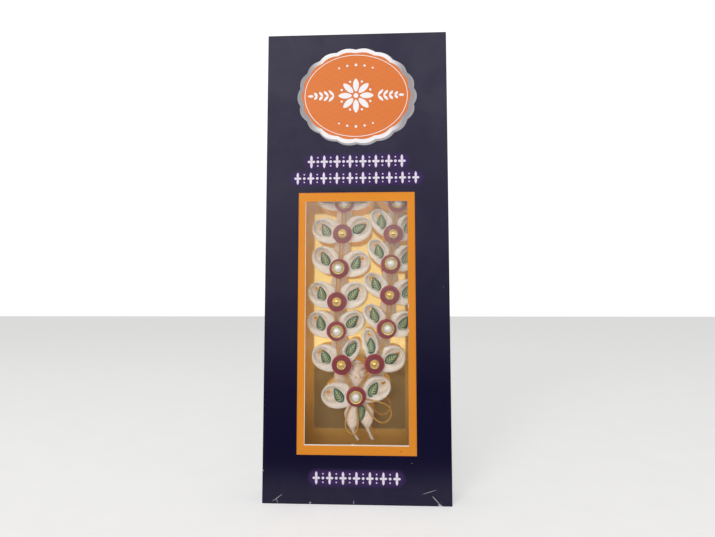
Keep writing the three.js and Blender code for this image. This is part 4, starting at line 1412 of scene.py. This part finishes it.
def addLeaf(bm, tree, at, turn, deep=None):  # a domed sticker with gold veins, laid on the petal
    leaf = sizes["leaf"]
    half = leaf["length"] / 2
    c, s = math.cos(math.radians(turn)), math.sin(math.radians(turn))

    least, mostAtRoot, mostAtTip = leaf["depths"]

    def bed(reach, most):  # where the petal lies under one end of the leaf
        if deep:
            return front + deep
        outside = Vector((at[0] + reach * c, -30, at[1] + reach * s))
        hit = tree.ray_cast(outside, Vector((0, 1, 0)))[0]
        return min(max(hit.y if hit else front + 8.0, front + least), front + most)
    rootY, tipY = bed(-leaf["sounding"], mostAtRoot), bed(leaf["sounding"], mostAtTip)

    def outlineHalf(t):  # half width at t from root 0 to tip 1
        return leaf["width"] * 0.5 * (math.sin(math.pi * t ** 0.78) ** 0.75) * (1.06 - 0.22 * t)

    def top(across, along):  # height of the domed face at a place on the leaf
        t = along / leaf["length"] + 0.5
        full = max(outlineHalf(min(max(t, 0.001), 0.999)), 0.05)
        dome = leaf["dome"] * max(1 - (across / full) ** 2, 0) ** 0.6
        groove = leaf["groove"] * math.exp(-(across / leaf["grooveWidth"]) ** 2)
        base = rootY + (tipY - rootY) * t
        return base - leaf["thickness"] - dome + groove

    def spot(across, along, lift=0.0):
        return Vector((at[0] + along * c - across * s, top(across, along) - lift,
                       at[1] + along * s + across * c))

    def place(u, v):  # v from the middle out over the rim and under
        angle = 2 * math.pi * u
        t = (1 - math.cos(angle)) / 2
        full = outlineHalf(min(max(t, 0.0005), 0.9995))
        edge = (math.copysign(full, math.sin(angle)), (t - 0.5) * leaf["length"])
        if v < 0.86:
            share = v / 0.86 * 0.97
            return spot(edge[0] * share, edge[1] * share)
        under = Vector(spot(edge[0], edge[1]))
        under.y = rootY + (tipY - rootY) * t + (0.1 if v < 0.95 else 0.2)
        if v >= 0.99:
            under.x, under.z = at[0], at[1]
            under.y = (rootY + tipY) / 2 + 0.2
        return under
    before = set(bm.faces)
    skin(bm, 32, 14, place, petalSlots["leaf"])
    for face in set(bm.faces) - before:
        m = face.calc_center_median()
        dx, dz = m.x - at[0], m.z - at[1]
        along, across = dx * c + dz * s, -dx * s + dz * c
        t = min(max(along / leaf["length"] + 0.5, 0.001), 0.999)
        if abs(across) > outlineHalf(t) * 0.84 or t < 0.05 or t > 0.95:
            face.material_index = petalSlots["leafRim"]

    def vein(start, end, size):
        points = [Vector(start).lerp(Vector(end), k / 4) for k in range(5)]

        lengthwise = abs(end[0] - start[0]) < 0.2
        beside = Vector((-s, 0, c)) if lengthwise else Vector((c, 0, s))

        def placeVein(a, b):
            station = min(round(b * 4), 4)
            across, along = points[station]
            thick = size * (0, 1, 0.95, 0.75, 0)[station]
            angle = 2 * math.pi * a
            raised = Vector((0, -0.6 * thick * math.sin(angle), 0))
            return spot(across, along, 0.06) + beside * (thick * math.cos(angle)) + raised
        skin(bm, 5, 4, placeVein, petalSlots["vein"])
    vein((0, -half * 0.86), (0, half * 0.9), leaf["midrib"])
    pairs = leaf["veinPairs"]
    for k in range(pairs):
        along = -half * 0.76 + k * leaf["length"] * 0.82 / pairs
        t = min((along + 1.2) / leaf["length"] + 0.5, 0.97)
        out = outlineHalf(t) * 0.8
        for side in (-1, 1):
            vein((side * 0.12, along), (side * out, along + 0.45 + out * 0.6), leaf["vein"])


petalMaterials = [shadedWool, wispy, strandWhite, leafGreen, leafDark, veinGold, petalWool, petalWispy]


def addSidePetals(bm, at, petals, chance):
    around, along = 40, len(sectionCurve)
    for given in petals:
        petal = {**sizes["side"], **given}
        surface = loopPetalSurface(at, petal, chance.uniform(0, 50))
        addPetal(bm, surface, around, along, cotton["sideFibres"], chance, slot="petal")
        alone = bmesh.new()  # the bare petal, for the leaf to lie on
        made = bmesh.ops.create_grid(alone, x_segments=around, y_segments=along, size=0.5)
        for v in made["verts"]:
            v.co = surface(v.co.x + 0.5, v.co.y + 0.5)
        tree = BVHTree.FromBMesh(alone)
        alone.free()
        where = petalPlace(at, petal["turn"])(sizes["leaf"]["reach"], 0, 0)
        addLeaf(bm, tree, (where.x, where.z), petal["leaf"])


def buildFlowerPetals(name, flower, nextAt, seed):
    chance = random.Random(seed)
    at = flower["at"]
    bm = newMesh()
    addSidePetals(bm, at, flower["petals"], chance)
    hang = flower.get("hang", math.degrees(math.atan2(nextAt[1] - at[1], nextAt[0] - at[0])))
    surface = plainPetalSurface((at[0], at[1] + sizes["rootOverlap"]), hang, sizes["hanging"],
                                chance.uniform(0, 50))
    addPetal(bm, surface, 28, 25, cotton["hangingFibres"], chance)
    makePiece(bm, name, petalMaterials, stands=[flower["node"]])


def addFlecks(bm, surface):  # stray bits of gold and maroon thread caught in the upper petal
    flecks = pendant["flecks"]
    for i in range(flecks["count"]):
        chance = random.Random(flecks["seed"] + i)
        u = 0.25 + chance.uniform(-0.16, 0.16)
        v = chance.uniform(0.5, 0.93)
        turn, reach = chance.uniform(0, 2 * math.pi), chance.uniform(0.015, 0.05)
        spine = []
        for k in range(4):
            bend = turn + 0.7 * k
            spine.append(surface(u + reach * k * math.cos(bend), v + reach * 0.9 * k * math.sin(bend),
                                 flecks["lift"]))
        slotIndex = petalSlots["zari" if i % 3 else "velvet"]
        strandThrough(bm, spine, flecks["size"], (0, 1, 1, 0), 4, slotIndex)


def buildPendantPetals():
    chance = random.Random(77)
    bm = newMesh()
    x, z = pendant["at"]
    addSidePetals(bm, pendant["at"], pendant["petals"], chance)
    upper = pendant["upper"]
    surface = plainPetalSurface((x, z - sizes["rootOverlap"]), upper["turn"], upper, 3.0)
    addPetal(bm, surface, 32, 25, cotton["hangingFibres"], chance)
    for tail in pendant["tails"]:
        addPetal(bm, tailSurface(tail, chance.uniform(0, 50)), 24, 40, cotton["tailFibres"], chance,
                 hazeLift=cotton["tailHazeLift"])
    leaf = pendant["tailLeaf"]
    addLeaf(bm, None, leaf["at"], leaf["turn"], deep=leaf["deep"])
    addFlecks(bm, surface)
    makePiece(bm, "pendantPetals", petalMaterials + [zari, velvet], stands=["pendant_petals"])


# Garland: discs and beads

discMaterials = [velvet, cupGold, pearlWhite]


def newCorners(bm, before):  # the new faces, and each of their corners once, in the order of the mesh
    made = [f for f in bm.faces if f not in before]
    return made, list(dict.fromkeys(v for f in made for v in f.verts))


def spun(bm, at, profile, steps, slotIndex):  # turns a profile of radius and depth round the place
    verts = [bm.verts.new((at[0] + r, front + deep, at[1])) for r, deep in profile]
    edges = [bm.edges.new(pair) for pair in zip(verts, verts[1:])]
    before = set(bm.faces)
    bmesh.ops.spin(bm, geom=verts + edges, cent=(at[0], 0, at[1]), axis=(0, 1, 0), angle=2 * math.pi,
                   steps=steps, use_merge=True)
    faces, corners = newCorners(bm, before)
    bmesh.ops.remove_doubles(bm, verts=corners, dist=1e-3)
    faces, corners = newCorners(bm, before)
    for face in faces:
        face.material_index = slotIndex
    return corners


def addFelt(bm, at, seed):
    disc = sizes["disc"]
    deep, radius = disc["front"], disc["radius"]
    back = deep + disc["thickness"]
    felt = throughPoints([
        (0, deep - 0.3, 0), (radius * 0.45, deep - 0.22, 0), (radius * 0.8, deep + 0.08, 0),
        (radius * 0.96, deep + 0.5, 0), (radius, deep + 0.95, 0), (radius * 0.95, back, 0),
        (0, back, 0)], 4)
    for v in spun(bm, at, [(max(p.x, 0), p.y) for p in felt], 56, 0):  # its soft edge isn't quite round
        away = Vector((v.co.x - at[0], 0, v.co.z - at[1]))
        if away.length > radius * 0.6:
            wander = noise.noise(Vector((away.x / 2, away.z / 2, seed * 3.1)))
            v.co += away.normalized() * 0.09 * wander


def addCup(bm, at, rim, inner):  # a fluted ring that opens towards the viewer
    cup, deep = sizes["cup"], sizes["disc"]["front"]
    ridges = cup["ridges"]
    ring = throughPoints([
        (rim - 0.1, deep + 0.35, 0), (rim, deep - 0.25, 0), (rim - 0.25, deep - 0.85, 0),
        ((rim + inner) / 2, deep - 1.12, 0), (inner, deep - 0.75, 0), (inner - 0.3, deep + 0.1, 0)], 4)
    for v in spun(bm, at, [(p.x, p.y) for p in ring], ridges * 4, 1):
        away = Vector((v.co.x - at[0], 0, v.co.z - at[1]))
        share = ease(away.length, inner, inner + 0.35)
        flute = 0.5 * math.cos(ridges * math.atan2(away.z, away.x))
        v.co += away.normalized() * flute * cup["fluteOut"] * share
        if v.co.y < front + deep:
            v.co.y -= flute * cup["fluteDeep"] * share


def addPearl(bm, at):
    made = bmesh.ops.create_uvsphere(bm, u_segments=36, v_segments=24, radius=sizes["pearl"])
    depth = front + sizes["disc"]["front"] - sizes["pearlDepth"] + sizes["pearl"]
    bmesh.ops.translate(bm, vec=(at[0], depth, at[1]), verts=made["verts"])
    for face in {f for v in made["verts"] for f in v.link_faces}:
        face.material_index = 2


def addKnob(bm, at):
    deep = sizes["disc"]["front"]
    knob = throughPoints([(0, deep - 1.95, 0), (0.6, deep - 1.8, 0), (1.1, deep - 1.42, 0),
                          (1.4, deep - 0.85, 0), (1.5, deep - 0.1, 0)], 5)
    spun(bm, at, [(max(p.x, 0), p.y) for p in knob], 40, 1)


def layUv(bm, at, bead):  # U is the turn round the disc or the bead, V the share of the disc's radius
    uv = bm.loops.layers.uv.verify()
    for face in bm.faces:
        heart = bead if face.material_index else at
        for loop in face.loops:
            away = loop.vert.co - Vector((heart[0], loop.vert.co.y, heart[1]))
            turn = math.atan2(away.z, away.x) / (2 * math.pi) + 0.5
            loop[uv].uv = (turn, away.length / sizes["disc"]["radius"])


def buildDisc(name, node, at, isPearl, offset, seed):
    cup = sizes["cup"]
    bead = (at[0] + offset[0], at[1] + offset[1])
    bm = newMesh()
    addFelt(bm, at, seed)
    if isPearl:
        addCup(bm, bead, cup["pearlRim"], cup["pearlHole"])
        addPearl(bm, bead)
    else:
        addCup(bm, bead, cup["goldRim"], cup["goldHole"])
        addKnob(bm, bead)
    layUv(bm, at, bead)
    makePiece(bm, name, discMaterials, stands=[node])


pearlOffsets = {"left4": (0.1, 0.0), "left6": (-0.5, 0.25), "left8": (0.35, -0.1), "right4": (0.3, 0.2),
                "right6": (0.25, 0.35), "right8": (0.65, 0.1)}

for strandName, strandPlan in strands.items():
    flowers = strandPlan["flowers"]
    for index, flowerPlan in enumerate(flowers, start=1):
        flowerPlan["node"] = f"flower_{strandName}_{index}_petals"
        following = flowers[index]["at"] if index < len(flowers) else pendant["at"]
        draw = 100 * len(strandName) + index
        label = f"{strandName}{index}"
        buildFlowerPetals(f"{label}Petals", flowerPlan, following, draw)
        buildDisc(f"{label}Disc", f"flower_{strandName}_{index}_disc", flowerPlan["at"], index % 2 == 0,
                  pearlOffsets.get(label, (0.0, 0.0)), draw)
    print(strandName, "strand made")
buildPendantPetals()
buildDisc("pendantDisc", "pendant_disc", pendant["at"], True, (-0.1, -0.25), 9)
print("garland made")
